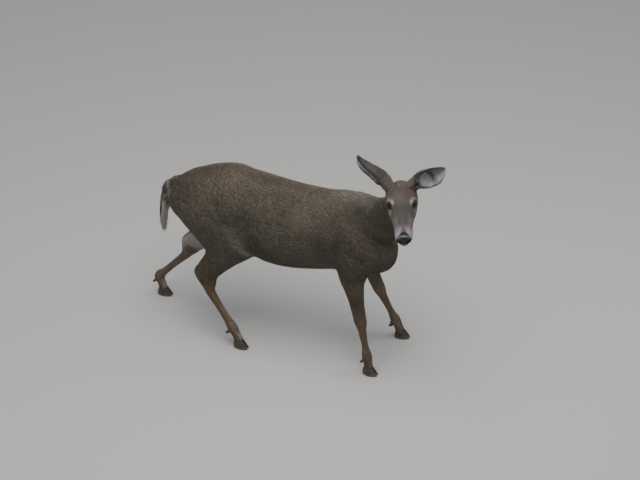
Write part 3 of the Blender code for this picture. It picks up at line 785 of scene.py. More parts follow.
tuft_lift = mixed(0.0068, (0.0088, under), (0.0042, upper_leg), (0.0022, at.shank), (0.0066, at.neck),
                  (0.0028, at.head), (0.0018, front_face), (0.0009, muzzle), (0.0085, at.tail),
                  (0.0014, on_ear), (0.0028, inner_ear), (0.0062, ear_root * (1 - 0.8 * at_rim)),
                  (0.0120, cup_floor), (0.0150, crest))

# ======================================================================= the markings
# The winter coat's own colours, and those of the bare skin, worked out for each point of the hide, with
# painted shade on the right shoulder and along the flank's fold and a painted sheen on the nose.
# The tufts take theirs from the point they grow at, so that skin and coat carry the same pattern.
GREY_BROWN = np.array((0.1150, 0.1010, 0.0755))
WARM_BROWN = np.array((0.1470, 0.1180, 0.0870))
DARK_BROWN = np.array((0.0600, 0.0460, 0.0350))
UPPER_LEG = np.array((0.1280, 0.1040, 0.0720))
TAWNY = np.array((0.2000, 0.1380, 0.0880))
WHITE = np.array((0.5600, 0.5300, 0.4900))
PALE_GREY = np.array((0.3000, 0.2750, 0.2420))
FACE_GREY = np.array((0.0640, 0.0570, 0.0500))
CROWN = np.array((0.0960, 0.0750, 0.0630))
PALE_TAN = np.array((0.2300, 0.1860, 0.1660))
MUZZLE = np.array((0.2300, 0.2130, 0.2260))
BRIDGE = np.array((0.0760, 0.0600, 0.0720))
EAR_BACK = np.array((0.0600, 0.0530, 0.0460))
INNER_EAR = np.array((0.4300, 0.4200, 0.4200))
BLACK = np.array((0.0090, 0.0085, 0.0100))
coat = np.tile(GREY_BROWN, (count, 1))


def paint(colour, mask):
    """Cover the coat with a colour as far as the mask says."""
    global coat
    mask = np.clip(mask, 0, 1)[:, None]
    coat = coat * (1 - mask) + colour * mask


# the body: warmer along the back and croup, duller on the neck, paler on its crest, tawny on the
# shanks, darker along the belly's edge and on the chest, and darker hair with painted shade on the right
# shoulder
off_head = (1 - at.head) * (1 - on_ear)
paint(WARM_BROWN, 0.75 * step(0.66, 0.77, z) * (1 - at.neck) * off_head)
paint(DARK_BROWN, 0.30 * step(0.035, 0.008, abs(y)) * step(0.70, 0.76, z) * (1 - at.neck) * off_head)
paint(WARM_BROWN, 0.35 * step(-0.40, -0.56, x) * step(0.50, 0.60, z))
paint(GREY_BROWN * 0.86, 0.6 * at.neck)
paint(PALE_GREY, 0.28 * at.neck * step(0.2, 0.8, normal[:, 2]) * step(0.74, 0.84, z))
paint(UPPER_LEG, 0.80 * step(0.50, 0.40, z) * near_leg)
paint(TAWNY, 0.90 * at.shank)
paint(PALE_GREY, 0.22 * crest)
belly_edge = step(0.52, 0.46, z) * step(-0.75, -0.25, normal[:, 2]) * (1 - near_leg) * step(0.30, 0.20, x)
paint(DARK_BROWN, 0.45 * belly_edge)
# the right shoulder: darker hair with painted shade over it
shoulder_hair_and_shade = step(0.16, 0.05, np.linalg.norm((at.plain - (0.19, -0.10, 0.60)) / (1.0, 1.0, 1.4), axis=1))
paint(DARK_BROWN, 0.55 * shoulder_hair_and_shade * (1 - at.neck))
paint(DARK_BROWN, 0.45 * chest * step(0.56, 0.48, z) * (1 - near_leg))
# painted shade along the fold of skin from flank to stifle
FLANK_FOLD = ((-0.235, -0.150, 0.575), (-0.180, -0.150, 0.515), (-0.125, -0.140, 0.460))
fold_shade_gap, _, _ = near_line(np.stack([x, -abs(y), z], axis=1), FLANK_FOLD)
paint(DARK_BROWN, 0.50 * step(0.045, 0.012, fold_shade_gap) * off_head)
# white: the belly, inside the thighs and forearms, under the tail
belly = step(-0.70, -0.90, normal[:, 2]) * step(0.52, 0.48, z) * step(0.12, 0.04, x) * step(-0.62, -0.50, x)
paint(WHITE, 0.95 * belly)
hind = (at.leg_kind == 2) * (1 - at.tail)
inner_thigh = step(0.15, 0.60, -outward) * step(0.26, 0.36, z) * step(0.60, 0.54, z) * step(-0.25, -0.33, x)
paint(WHITE, 0.90 * hind * inner_thigh)
paint(PALE_GREY, 0.25 * (1 - hind) * step(0.3, 0.8, -outward) * near_leg * step(0.28, 0.36, z))
seat = step(0.060, 0.036, abs(y)) * step(-0.615, -0.640, x) * step(0.685, 0.655, z) * step(0.42, 0.48, z)
paint(WHITE, 0.85 * seat * (1 - at.tail))
# the shanks: paler within, a pale line down the hind cannon, pale pasterns, dark behind them
paint(PALE_GREY, 0.20 * at.shank * step(0.2, 0.8, -outward))
front = (normal * np.cross(np.array((0.0, 1.0, 0.0)), at.leg_way)).sum(1)
cannon_line = step(0.72, 0.95, abs(front)) * (normal[:, 0] > 0) * step(0.23, 0.19, z) * step(0.08, 0.12, z)
paint(PALE_GREY, 0.35 * at.shank * hind * cannon_line)
pastern = step(0.110, 0.060, z) * step(0.25, 0.75, normal[:, 0])
paint(WHITE, (0.12 + 0.33 * hind) * pastern)
paint(DARK_BROWN, 0.40 * step(0.095, 0.060, z) * step(0.2, -0.5, normal[:, 0]))
# a tuft of darker stiff hair inside each hock
hock_gap = np.minimum(*[np.linalg.norm(at.plain - HINDLEGS[side][2] - (0.0, -0.020 * side, -0.022), axis=1)
                        for side in SIDES])
paint(TAWNY * 0.7, 0.7 * step(0.034, 0.020, hock_gap))
# the tail: brown above with a dark middle, white fringe and underside
tail_back = at.tail * step(0.30, -0.40, normal[:, 0])
off_middle = abs(y + 0.004)
paint(WHITE, at.tail)
paint(WARM_BROWN * 0.9, 0.95 * tail_back * step(0.036, 0.024, off_middle) * step(0.98, 0.80, at.tail_share))
paint(DARK_BROWN, 0.55 * tail_back * step(0.016, 0.004, off_middle) * step(0.1, 0.5, at.tail_share))

# the head: reddish crown, grey face with a dark narrow bridge, and pale arches over the eyes
paint(FACE_GREY, at.head)
crown = step(0.120, 0.080, ahead) * step(-0.060, -0.030, rise)
paint(CROWN, 0.85 * at.head * crown)
paint(CROWN * 1.5, 0.60 * at.head * step(0.045, 0.010, ahead) * step(0.040, 0.018, beside))
# a dark spot on the brow, and darker hair behind the cheek
spot = np.linalg.norm((at.local - (0.044, -0.006, 0.009)) / (0.016, 0.014, 0.03), axis=1)
paint(DARK_BROWN, 0.42 * at.head * step(1.3, 0.3, spot))
cheek = step(0.030, 0.060, ahead) * step(-0.052, -0.075, rise) * step(0.15, 0.11, ahead)
paint(DARK_BROWN, 0.35 * at.head * cheek)
bridge = step(0.013, 0.005, beside) * step(0.3, 0.7, head_normal[:, 2]) * step(0.125, 0.160, ahead)
paint(BRIDGE, 0.85 * at.head * bridge)
eye_gap = np.full(count, np.inf)
eye_rear = np.zeros(count)
for side in SIDES:
    gaze, _, _ = eye_axes(side)
    off = at.local - eye_middle(side) - gaze * EYE_RADIUS
    gap = np.linalg.norm(off, axis=1)
    closer = gap < eye_gap
    # 1 behind and above the eye, 0 in front of it and below
    rear = step(0.10, 0.75, unit(off) @ unit(np.array((-0.75, -0.35 * side, 0.55))))
    eye_gap[closer], eye_rear[closer] = gap[closer], rear[closer]
arch = hump(eye_gap, 0.0215, 0.0085) * eye_rear
paint(PALE_TAN * 1.25, 0.92 * arch)
# tan below the eye and along the side of the face, the white band behind the nose, the white lower
# jaw with a dark spot on each side of the lip, and the white throat
either_side = np.stack([ahead, beside, rise], axis=1)
below = np.linalg.norm((either_side - (0.124, 0.048, -0.036)) / (0.016, 0.012, 0.018), axis=1)
paint(PALE_TAN * 0.85, 0.75 * at.head * step(1.3, 0.4, below))
paint(PALE_TAN * 0.62, 0.70 * at.head * step(0.125, 0.180, ahead) * step(0.012, 0.030, beside))
band = step(0.188, 0.224, ahead) * step(0.003, 0.015, beside - 0.35 * (ahead - 0.215))
paint(MUZZLE, 0.95 * band * at.head)
mouth_gap = rise - mouth_level(ahead)
paint(MUZZLE * 0.9, 0.90 * at.head * step(0.001, -0.006, mouth_gap) * step(0.10, 0.14, ahead))
lip_spot = np.linalg.norm((either_side - (0.228, 0.032, -0.059)) / (0.011, 0.020, 0.009), axis=1)
paint(DARK_BROWN, 0.70 * at.head * step(1.2, 0.6, lip_spot))
under_jaw = step(-0.10, -0.40, head_normal[:, 2]) * step(-0.02, 0.02, ahead) * step(-0.085, -0.105, rise)
paint(WHITE, 0.90 * at.head * under_jaw)
throat = step(0.055, 0.030, beside) * step(-0.09, -0.12, rise) * step(-0.185, -0.150, rise)
throat = throat * step(-0.03, 0.0, ahead)
facing_down = step(0.15, 0.60, normal @ (HEAD_AXES @ unit(np.array((0.5, 0, -0.85)))))
paint(WHITE, 0.85 * throat * (1 - on_ear) * facing_down)

# the ears: brown-grey behind with a black rim, whitish within between darker hollows
outer_ear = on_ear * (1 - ear_inside)
paint(EAR_BACK, outer_ear)
paint(INNER_EAR, inner_ear)
paint(INNER_EAR * 1.8, 0.90 * inner_ear * step(0.48, 0.42, ear_share) * step(0.16, 0.24, ear_share))
paint(DARK_BROWN, 0.60 * inner_ear * hump(ear_share, 0.52, 0.09) * step(0.65, 0.35, ear_edge))
paint(DARK_BROWN * 1.3, 0.40 * inner_ear * hump(ear_turn, -0.30, 0.30) * step(0.45, 0.60, ear_share))
paint(INNER_EAR * 1.7, 0.80 * inner_ear * hump(ear_turn, 0.50, 0.35) * hump(ear_share, 0.70, 0.18))
rim = np.maximum(ear_edge + 0.05 * (ear_turn < 0), step(0.93, 1.02, ear_share))
paint(BLACK * 2.0, 0.90 * on_ear * step(0.86, 0.95, rim) * step(0.25, 0.36, ear_share))
towards_rim = step(0.80, 1.0, np.maximum(ear_share, ear_edge)) * step(0.3, 0.5, ear_share)
paint(BLACK * 2.5, 0.55 * outer_ear * towards_rim)

# bare skin: nose, lips, rims of the lids and tear ducts
pad = at.head * step(-0.0012, 0.0008, pad_edge(at.local)) * step(-0.0005, 0.0018, mouth_gap)
lip = at.head * step(0.0052, 0.0026, abs(mouth_gap)) * step(0.160, 0.178, ahead)
lid = np.zeros(count)
for side in SIDES:
    gaze, _, _ = eye_axes(side)
    out = at.local - eye_middle(side)
    near = (np.linalg.norm(out, axis=1) < 0.030) & (out @ gaze > 0)
    lid = np.maximum(lid, near * step(0.30, 0.17, lid_edge(unit(out), side)))
    gap, share, _ = near_line(at.local, tear_duct(side))
    lid = np.maximum(lid, step(0.0034, 0.0018, gap) * (1 - share) ** 0.5)
bare = np.clip(pad + lip + lid, 0, 1)
# dark short hair round the lids, then the skin's colour under the hair and where it is bare, a painted
# sheen, the sky's bluish reflection, on the nose's ridge, and the tufts' colour with its uneven tone
paint(BLACK * 2.5, 0.85 * step(0.0190, 0.0150, eye_gap) * step(0.0, 0.5, at.head) * (1 - 0.6 * arch))
flesh = coat * (0.82 + 0.06 * at.head + 0.10 * on_ear)[:, None]
# a painted highlight: the sky's bluish reflection along the nose's wet ridge, added to the bare skin's colour
painted_nose_sheen = pad * hump(ahead, 0.2425, 0.0072) * step(0.030, 0.022, beside)
flesh = flesh * (1 - bare[:, None]) + BLACK * bare[:, None] + np.outer(painted_nose_sheen, (0.050, 0.054, 0.070))
tone = coat * (1 + 0.06 * swirls[:, 1:] + 0.05 * flecks[:, :1]).clip(0.7, 1.35)


# ======================================================================= the hide's finish
# Skin is matt under the hair, and black, pebbled and moist on the nose, lips and lids.  The hide takes
# the place of every soft part of the model but the eyes.
def give(mesh, name, kind, values):
    """A named attribute with one value to each point."""
    attribute = mesh.attributes.new(name, kind, "POINT")
    key = {"FLOAT": "value", "FLOAT_COLOR": "color", "FLOAT_VECTOR": "vector"}[kind]
    attribute.data.foreach_set(key, np.ascontiguousarray(values, np.float32).ravel())


def with_alpha(colours):
    """The colours with a fourth number, all opaque."""
    return np.hstack([colours, np.ones((len(colours), 1))])


def shade_round(mesh):
    """Shade the mesh as one smooth surface."""
    mesh.polygons.foreach_set("use_smooth", np.ones(len(mesh.polygons), bool))


class Value:
    """A shader socket that is added, multiplied and mixed like a number."""

    def __init__(self, tree, socket):
        self.tree, self.socket = tree, socket

    def node(self, kind, settings, inputs, output=0):
        """Any other node: its settings first, then its inputs by name or number, as values or links."""
        made = self.tree.nodes.new(kind)
        for key, value in settings.items():
            setattr(made, key, value)
        for key, value in inputs.items():
            if isinstance(value, Value):
                self.tree.links.new(value.socket, made.inputs[key])
            else:
                made.inputs[key].default_value = value
        return Value(self.tree, made.outputs[output])

    def maths(self, operation, *values):
        return self.node("ShaderNodeMath", {"operation": operation}, dict(enumerate(values)))

    def __add__(self, other):
        return self.maths("ADD", self, other)

    def __radd__(self, other):
        return self.maths("ADD", other, self)

    def __sub__(self, other):
        return self.maths("SUBTRACT", self, other)

    def __rsub__(self, other):
        return self.maths("SUBTRACT", other, self)

    def __mul__(self, other):
        return self.maths("MULTIPLY", self, other)

    def __rmul__(self, other):
        return self.maths("MULTIPLY", other, self)

    def between(self, low, high):
        """0 below low, 1 above high."""
        return self.node("ShaderNodeMapRange", {"interpolation_type": "SMOOTHSTEP"},
                         {0: self, 1: low, 2: high, 3: 0.0, 4: 1.0})

    def mix(self, first, second):
        """The first colour where this is 0, the second where it is 1."""
        return self.node("ShaderNodeMix", {"data_type": "RGBA"}, {0: self, 6: first, 7: second}, 2)

    def tint(self, colour):
        """The colour darkened or lightened by this number."""
        return self.node("ShaderNodeVectorMath", {"operation": "SCALE"}, {0: colour, 3: self})

    def length(self):
        """A vector's length."""
        return self.node("ShaderNodeVectorMath", {"operation": "LENGTH"}, {0: self}, 1)

    def axis(self, number):
        """One of a vector's three numbers."""
        return self.node("ShaderNodeSeparateXYZ", {}, {0: self}, number)

    def vector(self, *numbers):
        return self.node("ShaderNodeCombineXYZ", {}, dict(enumerate(numbers)))

    def noise(self, vector, scale, detail=2.0):
        return self.node("ShaderNodeTexNoise", {}, {"Vector": vector, "Scale": scale, "Detail": detail})

    def attribute(self, name, output="Fac"):
        return self.node("ShaderNodeAttribute", {"attribute_name": name}, {}, output)

    def place(self):
        return self.node("ShaderNodeTexCoord", {}, {}, "Object")

    def bump(self, height, distance, strength=1.0):
        return self.node("ShaderNodeBump", {}, {"Height": height, "Distance": distance, "Strength": strength})

    def into(self, shader, name):
        """Link this to one of the shader's sockets."""
        self.tree.links.new(self.socket, shader.inputs[name])


def start(name, roughness, specular=0.35):
    """A new material, something to build its fields from, and its shader with the constants set."""
    material, tree, shader = new_material(name)
    shader.inputs["Roughness"].default_value = roughness
    shader.inputs["Specular IOR Level"].default_value = specular
    return material, Value(tree, None), shader


PEBBLES = 820.0         # pebbles of the bare nose, and pores of all the skin, to the metre
PORES = 900.0
skin_material, field, shader = start("hide", 0.62, 0.16)
shader.inputs["Coat Roughness"].default_value = 0.30
place = field.place()
naked = field.attribute("Bare")
wet = field.attribute("Wet")
pebbles = field.node("ShaderNodeTexVoronoi", {"feature": "DISTANCE_TO_EDGE"},
                     {"Vector": place, "Scale": PEBBLES})
grain = field.noise(place, PORES, 3.0)
(0.86 + 0.28 * grain).tint(field.attribute("Tone", "Color")).into(shader, "Base Color")
(0.66 - 0.12 * naked + 0.12 * grain).into(shader, "Roughness")
(wet * 0.5).into(shader, "Coat Weight")
height = naked * pebbles.between(0.0, 0.20) * 0.7 + (1.0 - naked) * grain * 0.5
field.bump(height, 0.0004, 0.5).into(shader, "Normal")

hide_object = add_object("hide", hide)
shade_round(hide)
hide.materials.clear()
hide.materials.append(skin_material)
hide.polygons.foreach_set("material_index", np.zeros(len(hide.polygons), np.int32))
give(hide, "Tone", "FLOAT_COLOR", with_alpha(flesh))
give(hide, "Bare", "FLOAT", bare)
give(hide, "Wet", "FLOAT", np.clip(pad * step(0.236, 0.243, ahead) + 0.6 * lid, 0, 1))
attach(hide_object, "root")
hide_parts(*FLESH, "ear_left", "ear_right")


# ======================================================================= the coat
# Hair in small tufts over the whole hide, each a closed sliver rooted in the skin and laid along it.
# Those of the body bend once; those of the face, ears and shanks are straight and very small.
PATCH = 0.0030          # size of each tuft's patch on its piece's map
ROOT_DEPTH = 0.0008     # how deep a tuft is rooted in the skin
FLATNESS = 0.45         # a tuft's height as a share of its half width
RISE = 0.6              # how soon a bent tuft comes up off the skin
# how much the tufts vary: their direction, and the least and most of their sizes, tones and pale tips
STRAY = 0.08
LENGTHS = (0.74, 1.20)
WIDTHS = (0.75, 1.25)
LIFTS = (0.50, 1.05)
TONES = (0.90, 1.10)
TIPS = (0.86, 1.14)
# corners of a tuft: share of the length, sideways in half widths, raised in half widths
BENT = ((0.0, 0.0, 0.0), (0.4, -1.0, 0.0), (0.4, 1.0, 0.0), (0.4, 0.0, 1.0), (1.0, 0.0, 0.0))
BENT_FACES = ((0, 2, 1), (4, 1, 2), (0, 3, 2), (0, 1, 3), (4, 2, 3), (4, 3, 1))
STRAIGHT = ((0.0, -1.0, 0.0), (0.0, 1.0, 0.0), (0.0, 0.0, 1.0), (1.0, 0.0, 0.0))
STRAIGHT_FACES = ((0, 2, 1), (0, 1, 3), (1, 2, 3), (2, 0, 3))
SHADES = {0.0: 0.86, 0.4: 1.00, 1.0: 1.05}      # dark at the root, paler at the tip

hide_tree = BVHTree.FromPolygons(skin.points.tolist(), skin.triangles.tolist(), all_triangles=True)


def nearest(points):
    """The hide's closest place to each point, and the hide's normal there."""
    found = [hide_tree.find_nearest(p)[:2] for p in points.tolist()]
    return np.array([f[0] for f in found]), np.array([f[1] for f in found])


class Patch:
    """Part of the hide, unwrapped: its triangles as numbers of the hide's points, and their map places."""

    def __init__(self, name, faces):
        bm = bmesh.new()
        bm.from_mesh(hide)
        bm.faces.ensure_lookup_table()
        layer = bm.verts.layers.int.new("from")
        for vert in bm.verts:
            vert[layer] = vert.index
        bmesh.ops.delete(bm, geom=[f for f in bm.faces if not faces[f.index]], context="FACES")
        obj = add_object(name, as_mesh(bm, name))
        bpy.context.view_layer.objects.active = obj
        obj.select_set(True)
        bpy.ops.object.mode_set(mode="EDIT")
        bpy.ops.mesh.select_all(action="SELECT")
        bpy.ops.uv.smart_project(angle_limit=math.radians(66.0), island_margin=0.003)
        bpy.ops.object.mode_set(mode="OBJECT")
        mesh = obj.data
        mesh.calc_loop_triangles()
        origin = read(mesh.attributes["from"].data, "value", 1, int)
        places = read(mesh.uv_layers[0].uv, "vector", 2)
        self.triangles = origin[read(mesh.loop_triangles, "vertices", 3, int)]
        self.places = places[read(mesh.loop_triangles, "loops", 3, int)]
        bpy.data.objects.remove(obj)
        bpy.data.meshes.remove(mesh)

    def scatter(self, tufts):
        """Roots at random, closest together where the tufts are small and none where the skin is bare."""
        p = skin.points[self.triangles]
        area = np.linalg.norm(np.cross(p[:, 1] - p[:, 0], p[:, 2] - p[:, 0]), axis=1) / 2
        crowd = 1.0 / (tuft_length * tuft_width) * np.clip(1 - 1.3 * bare, 0, 1)
        share = area * crowd[self.triangles].mean(axis=1)
        chosen = rng.choice(len(share), tufts, p=share / share.sum())
        a, b = rng.random(tufts), rng.random(tufts)
        flip = a + b > 1
        a[flip], b[flip] = 1 - a[flip], 1 - b[flip]
        return Roots(self, chosen, np.stack([1 - a - b, a, b], axis=1))

    def plant(self, points):
        """Roots at the places on this patch that are closest to the given points."""
        used, numbers = np.unique(self.triangles, return_inverse=True)
        tree = BVHTree.FromPolygons(skin.points[used].tolist(), numbers.reshape(-1, 3).tolist(),
                                    all_triangles=True)
        chosen = np.array([tree.find_nearest(p)[2] for p in points.tolist()])
        return Roots(self, chosen, np.full((len(points), 3), 1 / 3))


class Roots:
    """Places on a patch, each a triangle and how near it lies to that triangle's corners."""

    def __init__(self, patch, chosen, weight):
        self.corners, self.weight = patch.triangles[chosen], weight
        self.middle = (patch.places[chosen] * weight[:, :, None]).sum(axis=1)

    def of(self, values):
        """The hide's values at the roots."""
        weight = self.weight if values.ndim == 1 else self.weight[:, :, None]
        return (values[self.corners] * weight).sum(axis=1)


def lay(roots, bent, on_shell=False, way=None, length=None, width=None, lift=None, colour=None):
    """Tufts on those roots as arrays: points, colours, map places and faces.

    What isn't given is read from the hide's own fields.  A tuft on a thin shell runs straight from
    its root, and any other follows the hide."""
    tufts = len(roots.middle)
    root, up = roots.of(skin.points), unit(roots.of(normal))
    way = roots.of(lie) if way is None else way
    way = way + np.cross(up, way) * rng.normal(0.0, STRAY, tufts)[:, None]
    way = unit(way - up * (way * up).sum(1)[:, None])
    side = np.cross(up, way)
    length = (roots.of(tuft_length) if length is None else length) * rng.uniform(*LENGTHS, tufts)
    width = (roots.of(tuft_width) if width is None else width) * rng.uniform(*WIDTHS, tufts) / 2
    lift = (roots.of(tuft_lift) if lift is None else lift) * rng.uniform(*LIFTS, tufts)
    colour = (roots.of(tone) if colour is None else colour) * rng.uniform(*TONES, (tufts, 1))
    tip_shade = rng.uniform(*TIPS, tufts)
    shape, faces = (BENT, BENT_FACES) if bent else (STRAIGHT, STRAIGHT_FACES)
    stations, ups = {0.0: root - up * ROOT_DEPTH}, {0.0: up}
    for station in sorted({corner[0] for corner in shape})[1:]:
        spot, facing = root + way * (length * station)[:, None], up
        if not on_shell:
            spot, facing = nearest(spot)
        stations[station] = spot + facing * (lift * station ** (RISE if bent else 1.0))[:, None]
        ups[station] = facing
    verts, colours, spots = [], [], []
    for station, sideways, raised in shape:
        verts.append(stations[station] + side * (width * sideways)[:, None]
                     + ups[station] * (width * raised * FLATNESS)[:, None])
        shade = SHADES[station] * (tip_shade if station == 1.0 else np.ones(tufts))
        colours.append(colour * shade[:, None])
        spots.append(roots.middle + np.array((sideways * 0.5, station - 0.5 + 0.14 * raised)) * PATCH)
    faces = np.array(faces)[None] + np.arange(tufts)[:, None, None] * len(shape)
    return (np.stack(verts, axis=1).reshape(-1, 3), np.stack(colours, axis=1).reshape(-1, 3).clip(0, 1),
            np.stack(spots, axis=1).reshape(-1, 2).clip(0.0002, 0.9998), faces.reshape(-1, 3))


def make_coat(name, *batches):
    """One joined mesh of all those tufts, with its map and colours."""
    starts = np.cumsum([0] + [len(batch[0]) for batch in batches])
    verts, colours, spots = (np.vstack([batch[k] for batch in batches]) for k in range(3))
    faces = np.vstack([batch[3] + first for batch, first in zip(batches, starts)])
    mesh = bpy.data.meshes.new(name)
    mesh.vertices.add(len(verts))
    mesh.vertices.foreach_set("co", verts.astype(np.float32).ravel())
    mesh.loops.add(faces.size)
    mesh.loops.foreach_set("vertex_index", faces.astype(np.int32).ravel())
    mesh.polygons.add(len(faces))
    mesh.polygons.foreach_set("loop_start", np.arange(len(faces), dtype=np.int32) * 3)
    mesh.update(calc_edges=True)
    shade_round(mesh)
    layer = mesh.uv_layers.new(name="OFBake")
    layer.uv.foreach_set("vector", spots[faces.ravel()].astype(np.float32).ravel())
    give(mesh, "Tone", "FLOAT_COLOR", with_alpha(colours))
    mesh.materials.append(hair_material)
    obj = add_object(name, mesh)
    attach(obj, "root")


STRANDS = 500.0         # fine streaks in the hair, to the metre
hair_material, field, shader = start("hair", 0.60, 0.28)
strand = field.noise(field.place(), STRANDS, 2.0)
(0.90 + 0.20 * strand).tint(field.attribute("Tone", "Color")).into(shader, "Base Color")
(0.54 + 0.16 * strand).into(shader, "Roughness")

# ---- the hide's faces shared out among the pieces of the coat
corner_points = read(hide.loops, "vertex_index", 1, int)
face_of_corner = np.repeat(np.arange(len(hide.polygons)), read(hide.polygons, "loop_total", 1, int))
corners_in = np.bincount(face_of_corner)


def over_faces(values):
    """The mean of a field over each face's corners."""
    return np.bincount(face_of_corner, values[corner_points]) / corners_in


HEAD_LOW = 0.84         # all of the hide above this belongs to the neck, head or ears
LEG_TOP = 0.43
FOOT_TOP = 0.062
WAIST = -0.20           # where fore and hind quarter part
face_x, face_y, face_z = (over_faces(at.plain[:, k]) for k in range(3))
region = np.full(len(hide.polygons), "trunk", dtype=object)
region[over_faces(at.neck) > 0.5] = "neck"
region[over_faces(at.head + on_ear) > 0.5] = "head"
region[over_faces(on_ear) > 0.5] = "ears"
region[(region == "trunk") & (face_z > HEAD_LOW)] = "head"
low = (face_z < LEG_TOP) & (region == "trunk")
region[low & (over_faces(at.leg_kind) < 1.5)] = "forelegs"
region[low & (over_faces(at.leg_kind) >= 1.5)] = "hindlegs"
region[(face_z < FOOT_TOP) & np.isin(region, ("forelegs", "hindlegs"))] = "feet"
region[over_faces(at.tail) > 0.5] = "tail"
trunk = region == "trunk"
for quarter, along in (("fore", face_x > WAIST), ("hind", face_x <= WAIST)):
    region[trunk & (face_y >= 0) & along] = "trunk_left_" + quarter
    region[trunk & (face_y < 0) & along] = "trunk_right_" + quarter
THINNED = 1

# each piece of the coat: how many tufts, whether they bend, whether they lie on a thin shell
COATS = {"trunk_left_fore": (29000, True, False), "trunk_right_fore": (29000, True, False),
         "trunk_left_hind": (29000, True, False), "trunk_right_hind": (29000, True, False),
         "neck": (28000, True, False), "tail": (12000, True, True), "ears": (27000, False, True),
         "forelegs": (33000, False, False), "hindlegs": (42000, False, False), "feet": (6000, False, True)}
for name, (tufts, bent, on_shell) in COATS.items():
    patch = Patch(name + "_map", region == name)
    make_coat("coat_" + name, lay(patch.scatter(tufts // THINNED), bent, on_shell))

# ---- the head's coat, with the lashes and the long feelers of lips, chin and brows
HEAD_TUFTS = 46000
LASHES = 46             # along each upper lid
head_patch = Patch("head_map", region == "head")
lash_roots, lash_ways, feeler_roots, feeler_ways = [], [], [], []
for side in SIDES:
    gaze, long, up = eye_axes(side)
    for t in np.linspace(-0.86, 0.86, LASHES):
        across, height = t * LID_FRONT, LID_UP * 1.06 * (1 - abs(t) ** 1.8) ** 0.5
        out = unit(gaze * math.cos(height) * math.cos(across) + long * math.sin(across)
                   + up * math.sin(height))
        lash_roots.append(eye_middle(side) + out * (EYE_RADIUS + LID_STANDS))
        lash_ways.append(up * 0.25 + gaze * 0.80 + long * 0.35 * t)
    for row in range(3):                        # feelers in rows along the upper lip
        for k in range(6):
            feeler_roots.append((0.190 + 0.0095 * k, side * (0.040 - 0.0018 * k), -0.036 - 0.0060 * row))
            feeler_ways.append((0.40 + 0.08 * k, 0.60 * side, -0.45))
    for k in range(8):                          # and on the chin
        feeler_roots.append((0.205 + 0.006 * k, side * 0.018, -0.078))
        feeler_ways.append((0.35, 0.35 * side, -0.85))
    for k in range(5):                          # and over and under the eye
        feeler_roots.append((0.068 + 0.008 * k, side * 0.050, 0.006 - 0.001 * k))
        feeler_ways.append((0.30, 0.55 * side, 0.75))
        feeler_roots.append((0.100 + 0.007 * k, side * 0.058, -0.050))
        feeler_ways.append((0.40, 0.80 * side, -0.35))


def hairs(roots, ways, length, width, lift):
    """Single long dark hairs in the head's own axes, standing off the skin by `lift`."""
    roots = head_patch.plant(from_frame(np.array(roots), HEAD))
    tufts = len(roots.middle)
    length, width, lift = (np.full(tufts, size) for size in (length, width, lift))
    return lay(roots, True, True, np.array(ways) @ HEAD_AXES.T, length, width, lift,
               np.tile(BLACK * 1.6, (tufts, 1)))


LASH = (0.0080, 0.0006, 0.0044)         # length, width and lift
FEELER = (0.0240, 0.00028, 0.0070)
make_coat("coat_head", lay(head_patch.scatter(HEAD_TUFTS // THINNED), False),
          hairs(lash_roots, lash_ways, *LASH), hairs(feeler_roots, feeler_ways, *FEELER))


# ======================================================================= eyes
# Large dark balls of clear cornea over a brown iris with a long level pupil.  Each is one glossy ball
# in its socket, held by the lids, with its cornea towards the opening.
eye_material, field, shader = start("eye", 0.07, 0.22)
around = field.attribute("Around", "Vector")
along, across = around.axis(0), around.axis(1)
pupil = field.vector(along * 0.62, across * 1.3, 0.0).length()
rays = field.noise(around, 14.0, 3.0)
iris = rays.mix((0.012, 0.006, 0.004, 1), (0.026, 0.013, 0.008, 1))
iris = pupil.between(0.30, 0.38).mix((0.002, 0.002, 0.003, 1), iris)
off_iris = field.vector(along, across, 0.0).length()
off_iris.between(0.78, 0.90).mix(iris, (0.020, 0.015, 0.013, 1)).into(shader, "Base Color")

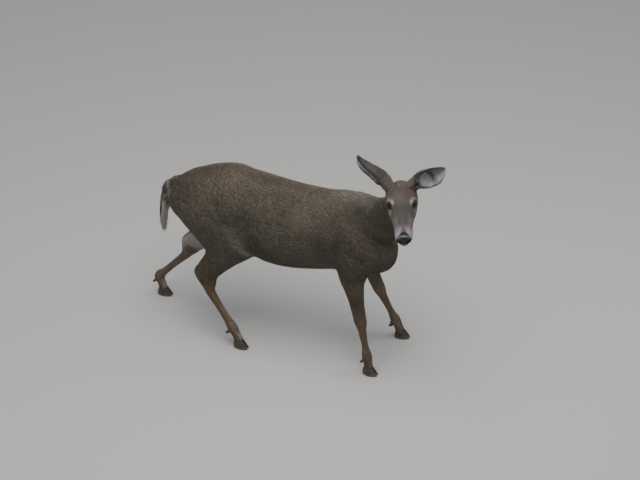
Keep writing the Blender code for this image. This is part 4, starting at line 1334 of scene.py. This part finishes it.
BALL = 0.985            # the ball's radius as a share of the socket's
CORNEA = 0.035          # how far the cornea stands out, as a share of the radius
for side, name in ((1, "eye_left"), (-1, "eye_right")):
    gaze, long, up = eye_axes(side)
    bm = bmesh.new()
    bmesh.ops.create_icosphere(bm, subdivisions=5, radius=1.0)
    mesh = as_mesh(bm, name)
    ball = read(mesh.vertices, "co", 3)
    cornea = 1 + CORNEA * np.clip((ball[:, 2] - 0.55) / 0.45, 0, 1) ** 0.7
    turn = np.stack([long, up, gaze])         # the ball's own z looks out
    points = (ball * cornea[:, None]) @ turn * EYE_RADIUS * BALL + eye_middle(side)
    mesh.vertices.foreach_set("co", from_frame(points, HEAD).astype(np.float32).ravel())
    shade_round(mesh)
    mesh.update()
    give(mesh, "Around", "FLOAT_VECTOR", ball)
    if np.linalg.det(turn) < 0:
        mesh.flip_normals()
    mesh.materials.append(eye_material)
    eye = add_object(name + "_ball", mesh)
    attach(eye, "root")
    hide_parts(name)


# ======================================================================= hooves and dewclaws
# Two claws of dark horn on each foot, worn at the toe, and two short dewclaws behind the pastern.
# They keep the model's own shapes with rounded edges, and the feet end inside them.
horn_material, field, shader = start("horn", 0.42, 0.5)
place = field.place()
warp = field.noise(place, 60.0, 3.0)
rings = field.node("ShaderNodeTexWave", {"bands_direction": "Z", "wave_type": "BANDS"},
                   {"Vector": place, "Scale": 75.0, "Distortion": 2.2, "Detail": 2.0, "Detail Scale": 2.0})
dark = warp.mix((0.016, 0.013, 0.011, 1), (0.050, 0.040, 0.032, 1))
worn = (1.0 - place.axis(2).between(0.004, 0.016)) * warp
(worn * 0.8).mix(dark, (0.150, 0.120, 0.090, 1)).into(shader, "Base Color")
(0.34 + 0.22 * warp).into(shader, "Roughness")
field.bump(rings * 0.6 + warp * 0.4, 0.0006, 0.6).into(shader, "Normal")


def rounded(name, nodes, width):
    """The same shape as those CAD nodes, its edges rounded off over that width."""
    bm = bmesh.new()
    for node in nodes:
        bm.from_mesh(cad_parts[node].data)
    bmesh.ops.remove_doubles(bm, verts=bm.verts, dist=MERGE)
    bmesh.ops.dissolve_limit(bm, angle_limit=math.radians(2.0), verts=bm.verts, edges=bm.edges)
    obj = add_object(name, as_mesh(bm, name))
    bevel = obj.modifiers.new("edges", "BEVEL")
    bevel.width = width
    bevel.segments = 4
    bevel.limit_method = "ANGLE"
    bevel.angle_limit = math.radians(28.0)
    done = applied(obj)
    obj.modifiers.clear()
    obj.data = done
    shade_round(done)
    done.materials.clear()
    done.materials.append(horn_material)
    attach(obj, "root")
    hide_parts(*nodes)


HOOF_EDGE = 0.0016
DEWCLAW_EDGE = 0.0032
for leg in ("foreleg_left", "foreleg_right", "hindleg_left", "hindleg_right"):
    rounded(leg + "_hooves", [f"{leg}_hoof_outer", f"{leg}_hoof_inner"], HOOF_EDGE)
    rounded(leg + "_dewclaws", [f"{leg}_dewclaw_outer", f"{leg}_dewclaw_inner"], DEWCLAW_EDGE)
